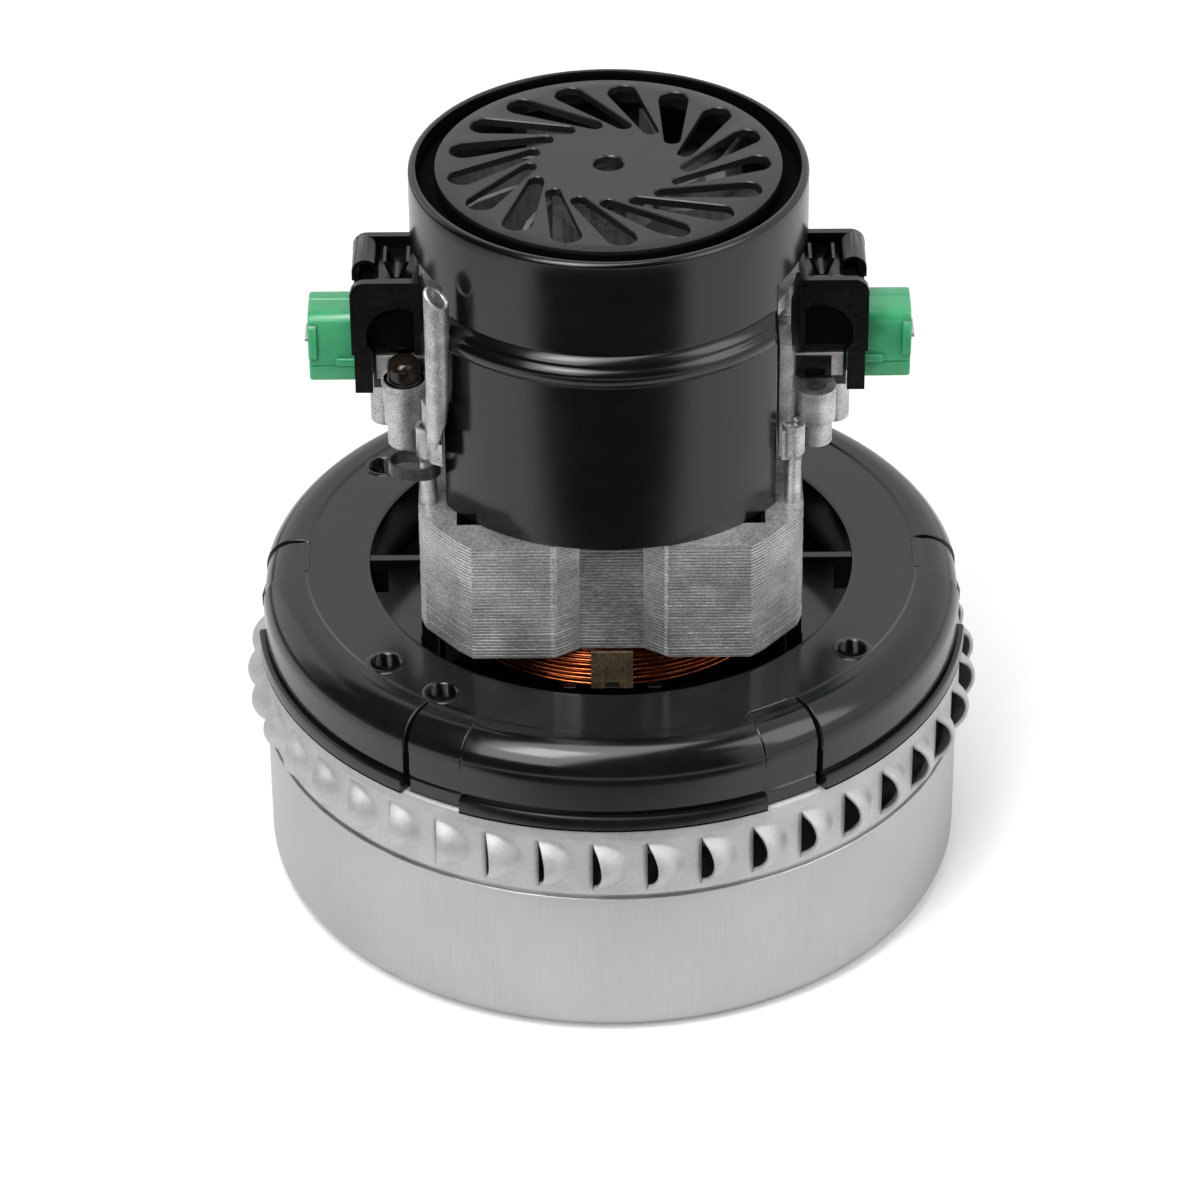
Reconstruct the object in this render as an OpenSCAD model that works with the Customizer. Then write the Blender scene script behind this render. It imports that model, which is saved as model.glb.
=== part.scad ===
// Two stage bypass vacuum motor: a sheet metal fan case with a louvred discharge ring below,
// a moulded bracket, and a brushed motor with its cooling fan under a grille above.
// Z runs along the shaft, the underside of the fan case lies at z = 0.

/* [Fan case] */
// Outer diameter over the lip of the fan shell
case_d = 144.8; // [130:0.2:160]
// Height of the fan shell, up to the seam under the louvred ring
shell_h = 34.2; // [32:0.1:40]
// Sheet thickness of the shell, ring and stage plates
sheet_t = 0.9; // [0.6:0.1:1.2]
// Outer corner radius at the bottom of the shell
shell_corner = 4.5; // [3:0.5:8]
// Radius of the air inlet in the bottom of the shell
inlet_r = 20; // [17:0.5:24]
// Height of the collar that is turned in at each inlet
collar_h = 4; // [2:0.5:5]
// Height of the louvred ring
ring_h = 16.35; // [15:0.05:20]
// Thickness of the stage divider's rim in the seam
seam_t = 0.45; // [0.3:0.05:0.8]
// Number of louvres
louvre_n = 42; // [30:1:48]
// Radius of the ball shape that each louvre is pressed to
louvre_r = 6.0; // [5:0.1:6.5]
// How far a louvre stands out of the ring
louvre_out = 3.3; // [2.5:0.1:3.6]
// Angle of the first louvre mouth
louvre_a0 = -119; // [-360:1:360]

/* [Motor bracket] */
// Height of the bracket from the ring to its plate
bracket_h = 16.8; // [14:0.2:20]
// Thickness of the bracket's flange
flange_t = 3.2; // [2:0.1:4]
// How far the flange stands out over the bracket's wall
flange_out = 1.3; // [0.8:0.1:2]
// Wall thickness of the bracket
bracket_t = 2.5; // [2:0.1:3]
// Radius of the shoulder between the plate and the wall
shoulder_r = 6.9; // [4:0.1:8]
// Radius of the opening around the motor
opening_r = 49.3; // [47:0.1:52]
// Thickness of the floor that closes the fan case
floor_t = 3; // [2:0.1:3.4]
// Radius of the circle on which the fixing holes lie
fixing_r = 58.9; // [57:0.1:60]
// Radius of a fixing hole
fixing_hole_r = 2.9; // [2:0.1:3.2]
// Width of a key section in the rim, in degrees
key_angle = 10.5; // [8:0.5:14]

/* [Motor] */
// Half width of the stator across its sides
stator_x = 38.2; // [37:0.1:40]
// Half depth of the stator, front to back
stator_y = 38.8; // [38:0.1:41]
// Height of the lamination stack
stator_h = 26.3; // [24:0.1:30]
// Height of the stator above the bracket's plate
stator_lift = 1.1; // [0.5:0.1:3]
// Radius of the armature
armature_r = 22.7; // [21:0.1:23]
// Air gap between armature and stator
air_gap = 0.6; // [0.4:0.05:1]
// Radius of the shaft
shaft_r = 4; // [3.5:0.1:4.5]
// Radius of the commutator
commutator_r = 13.5; // [12:0.1:15]
// Length of the commutator
commutator_h = 16; // [15:0.5:18]
// Number of commutator bars
commutator_n = 24; // [12:2:36]
// Number of armature slots
slot_n = 12; // [8:1:14]

/* [Bearings] */
// Outer radius of both ball bearings
bearing_r = 11; // [10:0.1:12]
// Width of both ball bearings
bearing_w = 7; // [6:0.1:8]
// Number of balls
ball_n = 7; // [6:1:8]
// Radius of a ball
ball_r = 1.95; // [1.6:0.05:2.1]

/* [Brush gear] */
// Height of the brush axis above the stator
brush_lift = 26.2; // [24:0.1:30]
// Width of the carbon brush, around the commutator
brush_w = 6.3; // [5:0.1:7]
// Height of the carbon brush, along the shaft
brush_h = 9.6; // [8:0.1:10.4]
// Wall thickness of the brush tube
tube_t = 0.6; // [0.4:0.1:0.8]
// Distance from the shaft axis to the outer end of the insulator
holder_end = 59.8; // [56:0.1:64]
// Width of the insulator
holder_w = 11.5; // [10.5:0.1:13]
// Height of the insulator
holder_h = 13.5; // [12.5:0.1:15]
// Half distance between the outer faces of a guard's cheeks
guard_y = 10; // [9:0.1:11]
// Thickness of the guard
guard_t = 1.6; // [1.2:0.1:2]
// Height of a guard's cheek
guard_h = 16.4; // [14:0.1:18]

/* [Cover] */
// Outer radius of the cover at its top
cover_r = 39.2; // [38:0.1:41]
// Outer radius of the cover's skirts
skirt_r = 40.2; // [39.5:0.1:42]
// Wall thickness of the cover
cover_t = 1.6; // [1.2:0.1:2]
// Height from the stator to the top of the cover
cover_h = 64.2; // [62:0.1:70]
// Half width of the front and back skirts
skirt_x = 32.6; // [30:0.1:34]
// Radius of the grille disc
grille_r = 34; // [33:0.1:35]
// Depth of the groove around the grille disc
groove_d = 3; // [2:0.1:4]
// Number of slots in the grille
grille_n = 17; // [13:1:19]

/* [Fits] */
// Radial gap of a bearing's races to its balls
ball_gap = 0.03; // [0.02:0.01:0.05]
// Gap of a part that slides in another
slide_gap = 0.15; // [0.1:0.05:0.3]
// Gap of a fixed part in its seat
seat_gap = 0.1; // [0.05:0.05:0.2]
// Gap between a brush and the commutator
brush_gap = 0.3; // [0.2:0.05:0.4]
// Gap between spinning and standing parts
run_gap = 0.8; // [0.5:0.1:1]

/* [Hidden] */
$fn = 64;
eps = 0.01;

// Radii of the fan case
lip_r = case_d / 2;
lip_out = 0.6;
lip_h = 1.1;
shell_r = lip_r - lip_out;
ring_r = lip_r - 0.2;
shell_in = shell_r - sheet_t;
// Heights of the main levels
seam_z = shell_h + seam_t;
louvre_z = seam_z + 7.3;
ring_top = seam_z + ring_h;
flange_top = ring_top + flange_t;
plate_z = ring_top + bracket_h;
stator_z = plate_z + stator_lift;
stator_top = stator_z + stator_h;
brush_z = stator_top + brush_lift;
cover_top = stator_top + cover_h;
// The bracket's wall and floor
bracket_r = lip_r + 0.4 - flange_out;
floor_top = ring_top + floor_t;
key_n = 6;
key_d = 0.5;
slit_d = 1.6;
slit_angle = 0.9;
hub_r = bearing_r + 3.5;
seat_floor = 1;
low_bearing_z = floor_top + seat_floor;
hub_top = low_bearing_z + bearing_w + 0.5;
// The screws and pillars that carry the stator
post_x = 36;
post_y = 22;
post_r = 2.3;
screw_r = 1.25;
screw_bite = 9;
leg_h = 18;
// Field slots of the stator
bore_r = armature_r + air_gap;
shoe_t = 3.2;
pole_x = 14;
recess_x = 6.3;
recess_d = 3.3;
slot_x = 30.5;
slot_y = 30.5;
tip_angle = 28;
liner_t = 0.5;
coil_gap = 0.2;
coil_out = 36;
coil_h = 7.5;
coil_span = 50;
// Commutator, centred on the brushes
commutator_z = brush_z - commutator_h / 2;
// Upper bearing and its bridge
bridge_z = commutator_z + commutator_h + 1.2;
top_bearing_z = bridge_z + seat_floor;
bridge_top = top_bearing_z + bearing_w + 1;
bridge_ring_r = cover_r - cover_t - 0.3;
// Cover levels
cover_in = cover_r - cover_t;
skirt_in = skirt_r - cover_t;
side_cut_z = cover_top - 14.7;
band_top = stator_top + 43.7;
band_low = stator_top + 36.6;
band_out = 0.5;
ledge_t = 1.6;
ledge_z = bridge_top - 1.5;
disc_t = 1.8;
// Cooling fan
fan_z = bridge_top + 2.5;
fan_h = cover_top - groove_d - 3 - fan_z;
fan_r = cover_in - 3.6;
fan_hub_r = 9;
fan_hub_h = fan_h * 0.55;
fan_nut_h = 4;
// Brush gear, measured outwards from the shaft axis
tube_w = brush_w + 2 * slide_gap + 2 * tube_t;
tube_h = brush_h + 2 * slide_gap + 2 * tube_t;
tube_in_x = commutator_r + 3.5;
tube_out_x = holder_end - 2.6;
insulator_x = 24;
brush_back_x = 36;
saddle_top = brush_z + 0.65;
saddle_x = 44.5;
frame_x = 33.2;
frame_t = 2.4;
boss_x = 40.8;
boss_y = -9.2;
boss_r = 4.1;
boss_hole_r = 2.3;
boss_top = stator_top + 18.7;
boss_low = stator_top + 6.2;
screw_head_r = 3.3;
screw_head_h = 4.6;
left_boss_rise = 2.3;
boss_rim_h = 1.4;
sleeve_r = 1.65;
clip_lift = 7.1;
clip_h = 2.8;
foot_h = 1.2;
foot_lift = clip_lift + clip_h + foot_h + 0.3;
side_boss = [45.2, 7];
side_boss_r = 3.3;
clip_t = 0.5;
leg_low = brush_z - 8.15;
side_boss_top = leg_low - 0.4;
guard_x0 = 38.5;
guard_x1 = 51;
guard_in = max(guard_x0 - guard_t, bridge_ring_r + 0.1);
guard_corner = 3;
guard_skin_y = holder_w / 2 + 0.45;
window_x = guard_x0 + 0.8;
window_low = 1.8;
window_r = 6.3;
window_end = 3;
pocket_y = -1;
insulator_flange = 0.8;
insulator_step = 1.2;
guard_z = saddle_top;
curl_r = 2.7;
curl_x = guard_x1 - curl_r - 0.1;
column_r = 2.45;
column_angle = 39.4;
column_top = stator_top + 49.5;
// Impellers
impeller_r = shell_in - 6;
impeller_t = 0.8;
vane_n = 6;
eye_r = inlet_r + sheet_t + run_gap;
first_eye_z = 2.4;
first_back_z = shell_h / 2 - 0.9;
diffuser_z = first_back_z + impeller_t + 1.4;
diffuser_r = impeller_r + 1.4;
second_eye_z = seam_z + 1.9;
second_back_z = ring_top - 2.8;
eye_rise = 3;
spacer_r = shaft_r + 2.5;
nut_h = 5.5;
washer_t = 1.2;
shaft_low = first_back_z - washer_t - nut_h - 2;
shaft_top = cover_top - disc_t - 1.5;

function arc(c, r, a0, a1, n = 6) = [for (i = [0:n]) let (a = a0 + (a1 - a0) * i / n) c + r * [cos(a), sin(a)]];
function polar(r, a) = [r * cos(a), r * sin(a)];

// A drop outline: two circles and the lines that touch both
function drop(c1, r1, c2, r2) =
    let (d = norm(c2 - c1), a = atan2(c2[1] - c1[1], c2[0] - c1[0]), t = acos((r1 - r2) / d))
    concat(arc(c1, r1, a + t, a + 360 - t, 6), arc(c2, r2, a - t, a + t, 8));

// A blade outline along a log spiral, of one thickness
function blade(r0, r1, sweep, t, n = 6) =
    let (s = [for (i = [0:n]) let (r = r0 * pow(r1 / r0, i / n)) [r, sweep * i / n]])
    concat([for (p = s) polar(p[0], p[1] - t / 2 / p[0] * 57.3)],
        [for (i = [n:-1:0]) polar(s[i][0], s[i][1] + t / 2 / s[i][0] * 57.3)]);

module at_angle(r, a) rotate(a) translate([r, 0, 0]) children();
module tube(ro, ri, h) difference() { cylinder(r = ro, h = h); translate([0, 0, -1]) cylinder(r = ri, h = h + 2); }
module bar(x0, x1, y0, y1, z0, z1) translate([x0, y0, z0]) cube([x1 - x0, y1 - y0, z1 - z0]);
module both_sides() { children(); mirror([1, 0, 0]) children(); }
module side(s) if (s > 0) children(); else mirror([1, 0, 0]) children();

// Fan case

// A plate with a hole whose edge is turned up into a collar
function collar_outline(z, top) = [[inlet_r + 1.5, z], [inlet_r + 0.4, z + 0.5], [inlet_r, z + 1.5], [inlet_r, top],
    [inlet_r + sheet_t, top], [inlet_r + sheet_t, z + 1.7], [inlet_r + 1.9, z + sheet_t]];

module fan_shell() color("silver") rotate_extrude($fn = 120) polygon(concat(
    [for (p = collar_outline(0, collar_h)) p],
    arc([shell_r - shell_corner, shell_corner], shell_corner - sheet_t, -90, 0),
    [[shell_in, shell_h], [lip_r, shell_h], [lip_r, shell_h - lip_h], [shell_r, shell_h - lip_h]],
    arc([shell_r - shell_corner, shell_corner], shell_corner, 0, -90)));

module stationary_fan() color("silver") {
    difference() {
        translate([0, 0, diffuser_z]) cylinder(r = diffuser_r, h = sheet_t);
        translate([0, 0, diffuser_z - 1]) cylinder(r = spacer_r + 1.5, h = sheet_t + 2);
    }
    for (i = [0:8]) rotate(i * 40) translate([0, 0, diffuser_z + sheet_t])
        linear_extrude(shell_h - 2 * sheet_t - diffuser_z) polygon(blade(inlet_r + 3, diffuser_r - 0.4, -55, 1.1));
}

module stage_divider() color("silver") {
    divider_z = shell_h - sheet_t;
    rotate_extrude($fn = 120) polygon(concat([for (p = collar_outline(divider_z, seam_z + collar_h - 1)) p],
        [[shell_in - seat_gap - 1, shell_h], [shell_in - seat_gap - 1, seam_z], [lip_r - 0.7, seam_z],
        [lip_r - 0.7, shell_h], [shell_in - seat_gap, shell_h], [shell_in - seat_gap, divider_z]]));
}

// A quarter ball: outside the ring wall, on one side of the louvre's mouth
module quarter_ball(r, y0) intersection() {
    sphere(r = r, $fn = 48);
    translate([louvre_r - louvre_out - sheet_t - 0.6, y0, -r]) cube([r + 1, r + 1, 2 * r]);
}
module louvre() difference() {
    quarter_ball(louvre_r, 0);
    quarter_ball(louvre_r - sheet_t, -0.5);
}
module at_louvres() for (i = [0:louvre_n - 1])
    at_angle(ring_r - louvre_r + louvre_out, louvre_a0 + i * 360 / louvre_n) translate([0, 0, louvre_z]) children();

// The wall is pierced behind each louvre, and the louvres are half balls pressed out of it, open on one side
module discharge_ring() color("silver") {
    difference() {
        rotate_extrude($fn = 120) polygon([[shell_in - 1, seam_z], [ring_r, seam_z], [ring_r, ring_top],
            [shell_in - 3, ring_top], [shell_in - 3, ring_top - sheet_t], [ring_r - sheet_t, ring_top - sheet_t],
            [ring_r - sheet_t, seam_z + sheet_t], [shell_in - 1, seam_z + sheet_t]]);
        at_louvres() quarter_ball(louvre_r - sheet_t / 2, 0);
    }
    difference() {
        at_louvres() louvre();
        translate([0, 0, seam_z - 1]) cylinder(r = ring_r - sheet_t / 2, h = ring_h + 2);
    }
}

// Motor bracket

fixing_angles = [-139.9, -124.8, -35.7, 144.3];

module bracket_body() {
    shoulder = [bracket_r - shoulder_r, plate_z - shoulder_r];
    rotate_extrude($fn = 120) polygon(concat(
        [[spacer_r + run_gap, ring_top], [opening_r + bracket_t, ring_top],
        [opening_r + bracket_t, plate_z - bracket_t]],
        arc(shoulder, shoulder_r - bracket_t, 90, 0),
        [[bracket_r - bracket_t, ring_top], [bracket_r + flange_out, ring_top],
        [bracket_r + flange_out, flange_top], [bracket_r, flange_top]],
        arc(shoulder, shoulder_r, 0, 90),
        [[shoulder[0] - 1.6, plate_z], [shoulder[0] - 1.8, plate_z - 0.35], [opening_r, plate_z - 0.35],
        [opening_r, floor_top], [hub_r + 12, floor_top], [hub_r + 1, hub_top - 1.5],
        [hub_r, hub_top], [bearing_r, hub_top], [bearing_r, low_bearing_z], [bearing_r - 2, low_bearing_z],
        [bearing_r - 2, floor_top - 0.5], [spacer_r + run_gap, floor_top - 0.5]]));
}

module fan_bracket() color([0.05, 0.05, 0.055]) difference() {
    union() {
        bracket_body();
        // Screw bosses and stiffening ribs under the plate
        for (a = fixing_angles) at_angle(fixing_r, a) translate([0, 0, ring_top])
            cylinder(r = fixing_hole_r + 2.2, h = bracket_h - 0.2);
        for (i = [0:11]) rotate(i * 30 + 15) {
            bar(opening_r + 1, bracket_r - shoulder_r, -0.8, 0.8, ring_top + 1.5, plate_z - 1);
            bar(opening_r + 1, bracket_r - 1, -0.8, 0.8, ring_top + 1.5, plate_z - shoulder_r);
        }
        // Two radial bars at the level of the plate, with their gussets
        for (a = [0, 180]) rotate(a) {
            bar(stator_x - 9, opening_r + 1, -0.9, 0.9, plate_z - 2.6, plate_z - 0.6);
            bar(opening_r - 3.6, opening_r + 1, -0.9, 0.9, plate_z - 8.5, plate_z - 1);
        }
        // Fins on the floor, and the pillars that carry the stator
        for (a = [28, 152, 208, 332]) rotate(a) bar(hub_r - 1, opening_r - 6, -0.9, 0.9, floor_top - 1, hub_top - 1);
        for (x = [-1, 1], y = [-1, 1]) translate([x * post_x, y * post_y, floor_top - 1])
            cylinder(r = post_r, h = stator_z - floor_top + 1);
    }
    for (a = fixing_angles) at_angle(fixing_r, a) translate([0, 0, ring_top - 1])
        cylinder(r = fixing_hole_r, h = bracket_h + 2);
    for (x = [-1, 1], y = [-1, 1]) translate([x * post_x, y * post_y, stator_z - screw_bite - 1])
        cylinder(r = screw_r, h = screw_bite + 2);
    // Key sections: the rim is set back, and a slit parts one edge of each from the wall
    for (i = [0:key_n - 1]) rotate(i * 360 / key_n - key_angle / 2) {
        rotate_extrude(angle = key_angle, $fn = 120) translate([bracket_r - key_d, 0]) square([key_d + flange_out + 2, plate_z + 1]);
        rotate(cos(i * 360 / key_n) > 0 ? key_angle - slit_angle : 0) rotate_extrude(angle = slit_angle, $fn = 120)
            translate([bracket_r - slit_d, 0]) square([slit_d + flange_out + 2, plate_z + 1]);
    }
}

module shaft_seal() color([0.12, 0.12, 0.12]) translate([0, 0, floor_top - 0.5])
    tube(bearing_r - 2 - seat_gap, spacer_r + 0.2, low_bearing_z - floor_top + 0.5);

// Ball bearings

race_mid = (bearing_r + shaft_r) / 2;

module race(z, ro, ri) translate([0, 0, z]) difference() {
    tube(ro, ri, bearing_w);
    translate([0, 0, bearing_w / 2]) rotate_extrude() translate([race_mid, 0]) circle(r = ball_r + ball_gap);
}
module outer_race(z) color("silver") race(z, bearing_r, race_mid + 1.1);
module inner_race(z) color("silver") race(z, race_mid - 1.1, shaft_r);
module balls(z) color("gainsboro") for (i = [0:ball_n - 1])
    at_angle(race_mid, i * 360 / ball_n) translate([0, 0, z + bearing_w / 2]) sphere(r = ball_r, $fn = 24);

// Stator and field coils

// A quarter of the outline, from the side flat to the recess in the front
stator_quarter = [[stator_x, stator_y - 14.5], [stator_x - 1, stator_y - 11], [stator_x - 8, stator_y - 2.4],
    [stator_x - 10.7, stator_y], [recess_x + 5, stator_y], [recess_x, stator_y - recess_d]];
function mirrored(v, x, y) = [for (p = v) [p[0] * x, p[1] * y]];
function reversed(v) = [for (i = [len(v) - 1:-1:0]) v[i]];

module stator_outline() polygon(concat(stator_quarter, reversed(mirrored(stator_quarter, -1, 1)),
    mirrored(stator_quarter, -1, -1), reversed(mirrored(stator_quarter, 1, -1))));

// One field slot half: the space beside a pole, shrunk by a margin
module field_slot(m) {
    difference() {
        translate([pole_x + m, 0]) square([slot_x - pole_x - 2 * m, slot_y - m]);
        circle(r = bore_r + shoe_t + m);
    }
}

module stator_core() color("slategray") translate([0, 0, stator_z]) difference() {
    linear_extrude(stator_h) stator_outline();
    translate([0, 0, -1]) cylinder(r = bore_r, h = stator_h + 2);
    for (x = [0, 1], y = [0, 1]) mirror([x, 0, 0]) mirror([0, y, 0]) translate([0, 0, -1])
        linear_extrude(stator_h + 2) field_slot(0);
    for (x = [0, 180]) rotate(x) translate([0, 0, -1]) linear_extrude(stator_h + 2)
        polygon([[0, 0], polar(slot_x, -tip_angle), polar(slot_x, tip_angle)]);
    for (x = [-1, 1], y = [-1, 1]) translate([x * post_x, y * post_y, -1])
        cylinder(r = screw_r + 0.3, h = stator_h + 2);
}

// Papers that line the field slots and stand out of the stack
module slot_insulators() color("khaki") for (x = [0, 1], y = [0, 1]) mirror([x, 0, 0]) mirror([0, y, 0])
    translate([0, 0, stator_z - 1.5]) linear_extrude(stator_h + 3) difference() {
        intersection() { field_slot(seat_gap); translate([0, 9]) square(60); circle(r = skirt_in - 0.3); }
        intersection() { field_slot(seat_gap + liner_t); translate([0, 9 + liner_t]) square(60); }
    }

module coil_leg() intersection() {
    field_slot(seat_gap + liner_t + coil_gap);
    translate([0, 12]) square(60);
    circle(r = coil_out + 1);
}
module coil_end(z) translate([0, 0, z]) rotate(90 - coil_span) rotate_extrude(angle = 2 * coil_span)
    translate([bore_r + shoe_t + 1, 0]) square([coil_out - bore_r - shoe_t - 1, coil_h]);
module field_coil() color([0.72, 0.35, 0.12]) {
    coil_end(stator_z - 1.6 - coil_h);
    coil_end(stator_top + 1.6);
    both_sides() translate([0, 0, stator_z - 2 - coil_h / 2])
        linear_extrude(stator_h + 4 + coil_h) coil_leg();
}
module front_field_coil() mirror([0, 1, 0]) field_coil();
module rear_field_coil() field_coil();

// Insulating card and the three tabs that hold the end turns down
module coil_end_tabs() color([0.1, 0.1, 0.1]) for (s = [0, 180]) rotate(s) {
    bar(-4.2, 4.2, -coil_out - 0.9, -coil_out - 0.3, stator_z - 1.4 - coil_h, stator_z - 0.1);
    for (x = [-8.5, 0, 8.5]) bar(x - 1.3, x + 1.3, -coil_out - 2.6, -coil_out - 0.9, floor_top, floor_top + 7.5);
    bar(-9.8, 9.8, -coil_out - 2.6, -coil_out - 0.9, floor_top, floor_top + 3);
}

// Cast bracket over the commutator

module frame_side(rise = 0) {
    // Upright with a window for the brush tube
    difference() {
        bar(frame_x, frame_x + frame_t, -20, 20, stator_top + 14, bridge_top - 1.5);
        bar(frame_x - 1, frame_x + frame_t + 1, -holder_w / 2 - seat_gap, holder_w / 2 + seat_gap,
            brush_z - holder_h / 2, brush_z + holder_h / 2 + seat_gap);
        for (y = [-1, 1]) bar(frame_x - 1, frame_x + frame_t + 1, y > 0 ? 11.5 : -22, y > 0 ? 22 : -11.5,
            brush_z + 8, bridge_top);
    }
    // Saddle that holds the insulator
    difference() {
        bar(frame_x, saddle_x, -guard_y + 0.2, guard_y - 0.2, brush_z - holder_h / 2 - 4, saddle_top);
        bar(frame_x - 1, saddle_x + 1, -holder_w / 2 - 1.2, holder_w / 2 + 1.2,
            brush_z - holder_h / 2, saddle_top + 1);
        translate([boss_x, boss_y, boss_top]) cylinder(r = boss_r + (rise > 0 ? 0.9 : 0.4), h = 30);
    }
    // Legs that end in sleeves on the stator, with their feet and gussets
    for (y = [-1, 1]) {
        translate([post_x, y * post_y, stator_top]) cylinder(r = sleeve_r, h = leg_h);
        translate([post_x, y * post_y, stator_top + foot_lift]) cylinder(r = post_r, h = leg_h - foot_lift);
        bar(post_x - post_r, post_x + post_r - 0.6, y * post_y - 1.6, y * post_y + 1.6,
            stator_top + foot_lift - foot_h, stator_top + leg_h - 1);
        bar(frame_x, frame_x + frame_t, y > 0 ? 12 : -22, y > 0 ? 22 : -12,
            stator_top + leg_h - 8, stator_top + leg_h);
    }
    // Screw boss in front and the longer one outside
    translate([boss_x, boss_y, boss_low]) cylinder(r = boss_r - 0.6, h = boss_top - boss_low);
    translate([boss_x, boss_y, boss_top - 7.5]) cylinder(r = boss_r, h = 7.5);
    // One side's boss is higher, with a flared rim that keeps clear of the insulator
    if (rise > 0) difference() {
        translate([boss_x, boss_y, boss_top]) rotate_extrude() polygon([[0, -2], [boss_r, -2],
            [boss_r, rise - boss_rim_h], [boss_r + 0.5, rise - boss_rim_h + 0.5], [boss_r + 0.5, rise], [0, rise]]);
        bar(frame_x, saddle_x + 4, -holder_w / 2 - 0.3, 0, boss_top, boss_top + rise + 1);
    }
    bar(frame_x, boss_x, boss_y - 0.5, boss_y + 2.5, boss_low + 3, boss_top - 0.5);
    translate([side_boss[0], side_boss[1], stator_top + 1.8])
        cylinder(r = side_boss_r, h = side_boss_top - stator_top - 1.8);
    bar(frame_x, side_boss[0], side_boss[1] - 1.5, side_boss[1] + 1.5, stator_top + 8, side_boss_top - 1);
}

// Round column that hugs the cover's skirt, hollow and cut off at a slant
module frame_column() {
    axis = polar(skirt_r + band_out + 0.1 + column_r, -column_angle);
    translate([axis[0], axis[1], 0]) difference() {
        translate([0, 0, stator_top + 17]) cylinder(r = column_r, h = column_top - stator_top - 17);
        translate([0, 0, stator_top + 22]) cylinder(r = column_r - 0.9, h = 40);
        rotate(25) translate([-4, -5, column_top - 6]) rotate([0, -40, 0]) cube([14, 10, 12]);
    }
    translate([0, 0, stator_top + 12]) linear_extrude(12)
        polygon([[post_x - 2, -post_y], [post_x + 1, -post_y], axis + [1.8, 0.6], axis + [-0.4, -0.4]]);
}

module commutator_bracket() color([0.66, 0.66, 0.67]) difference() {
    union() {
        side(1) frame_side();
        side(-1) frame_side(left_boss_rise);
        for (a = [0, 180]) rotate(a) mirror([1, 0, 0]) frame_column();
        // Bridge: hub, arms and the ring that centres the cover
        translate([0, 0, bridge_z]) cylinder(r = hub_r, h = bridge_top - bridge_z);
        for (a = [0:90:270]) rotate(a)
            bar(hub_r - 1, bridge_ring_r - 1, -4.5, 4.5, bridge_z + 2.5, bridge_top - 2);
        both_sides() bar(bridge_ring_r - 4, frame_x + frame_t, -11.4, 11.4, bridge_z + 1, bridge_top - 1.5);
        translate([0, 0, bridge_top - 4.5]) tube(bridge_ring_r, bridge_ring_r - 3.2, 3);
    }
    translate([0, 0, top_bearing_z]) cylinder(r = bearing_r, h = 30);
    translate([0, 0, bridge_z - 1]) cylinder(r = bearing_r - 2.5, h = 30);
    both_sides() {
        translate([boss_x, boss_y, boss_low - 1])
            cylinder(r = boss_hole_r, h = boss_top + left_boss_rise - boss_low + 2);
        translate([side_boss[0], side_boss[1], stator_top]) cylinder(r = 1.7, h = 12);
        for (y = [-1, 1]) translate([post_x, y * post_y, stator_top - 1])
            cylinder(r = screw_r + 0.3, h = leg_h + 1.5);
    }
}

module stator_screws() color("dimgray") for (x = [-1, 1], y = [-1, 1])
    translate([x * post_x, y * post_y, stator_z - screw_bite])
        cylinder(r = screw_r, h = screw_bite + stator_h + leg_h - 1);

module bearing_wave_spring() color("gray") translate([0, 0, top_bearing_z + bearing_w])
    tube(bearing_r - seat_gap, bearing_r - 2.2, 0.5);

module left_boss_screw() color([0.1, 0.1, 0.1]) translate([-boss_x, boss_y, boss_top + left_boss_rise]) {
    translate([0, 0, -screw_bite]) cylinder(r = boss_hole_r - seat_gap, h = screw_bite);
    rotate_extrude() polygon(concat([[0, 0], [screw_head_r, 0]],
        arc([screw_head_r - 1.8, screw_head_h - 1.8], 1.8, 0, 90), [[0, screw_head_h + 0.3]]));
}

// A flat band that ties the leads to the left front leg
module lead_clip() color([0.25, 0.25, 0.26])
    translate([-post_x - 1, -post_y, stator_top + clip_lift]) difference() {
        lead_loop(post_r + 0.7 + clip_t, 0, clip_h);
        lead_loop(post_r + 0.7, -1, clip_h + 2);
    }
module lead_loop(r, z, h) translate([0, 0, z]) hull() {
    cylinder(r = r, h = h, $fn = 32);
    translate([-3.4, 0.4, 0]) cylinder(r = r, h = h, $fn = 32);
}

// Cover and grille

module grille_slot() linear_extrude(2 * disc_t + 2) polygon(drop([12.6, 9.2], 1.6, [13.1, 25.6], 3));

module motor_cover() color([0.05, 0.05, 0.055]) difference() {
    rotate_extrude($fn = 120) polygon(concat(
        [[3, cover_top - disc_t], [3, cover_top], [grille_r, cover_top], [grille_r, cover_top - groove_d],
        [cover_in, cover_top - groove_d], [cover_in, cover_top - 0.5], [cover_in + 0.5, cover_top]],
        arc([cover_r - 1, cover_top - 1], 1, 90, 0, 3),
        [[cover_r, band_top], [cover_r + 0.85, band_top - 1.2], [cover_r + 0.75, band_top - 2],
        [skirt_r + band_out, band_top - 3], [skirt_r + band_out, band_top - 4.4], [skirt_r, band_low],
        [skirt_r, stator_top], [skirt_in, stator_top], [skirt_in, ledge_z], [cover_in - 2, ledge_z],
        [cover_in - 2, ledge_z + ledge_t], [cover_in, ledge_z + ledge_t], [cover_in, cover_top - groove_d - 1.3],
        [grille_r - 1.4, cover_top - groove_d - 1.3], [grille_r - 1.4, cover_top - disc_t]]));
    for (i = [0:grille_n - 1]) rotate(i * 360 / grille_n) translate([0, 0, cover_top - disc_t - 1]) grille_slot();
    // Both sides are open below the fan for the brush gear
    for (x = [0, 1]) mirror([x, 0, 0]) bar(skirt_x, 60, -60, 60, 0, side_cut_z);
}

// Brush gear, drawn on the right side

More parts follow.
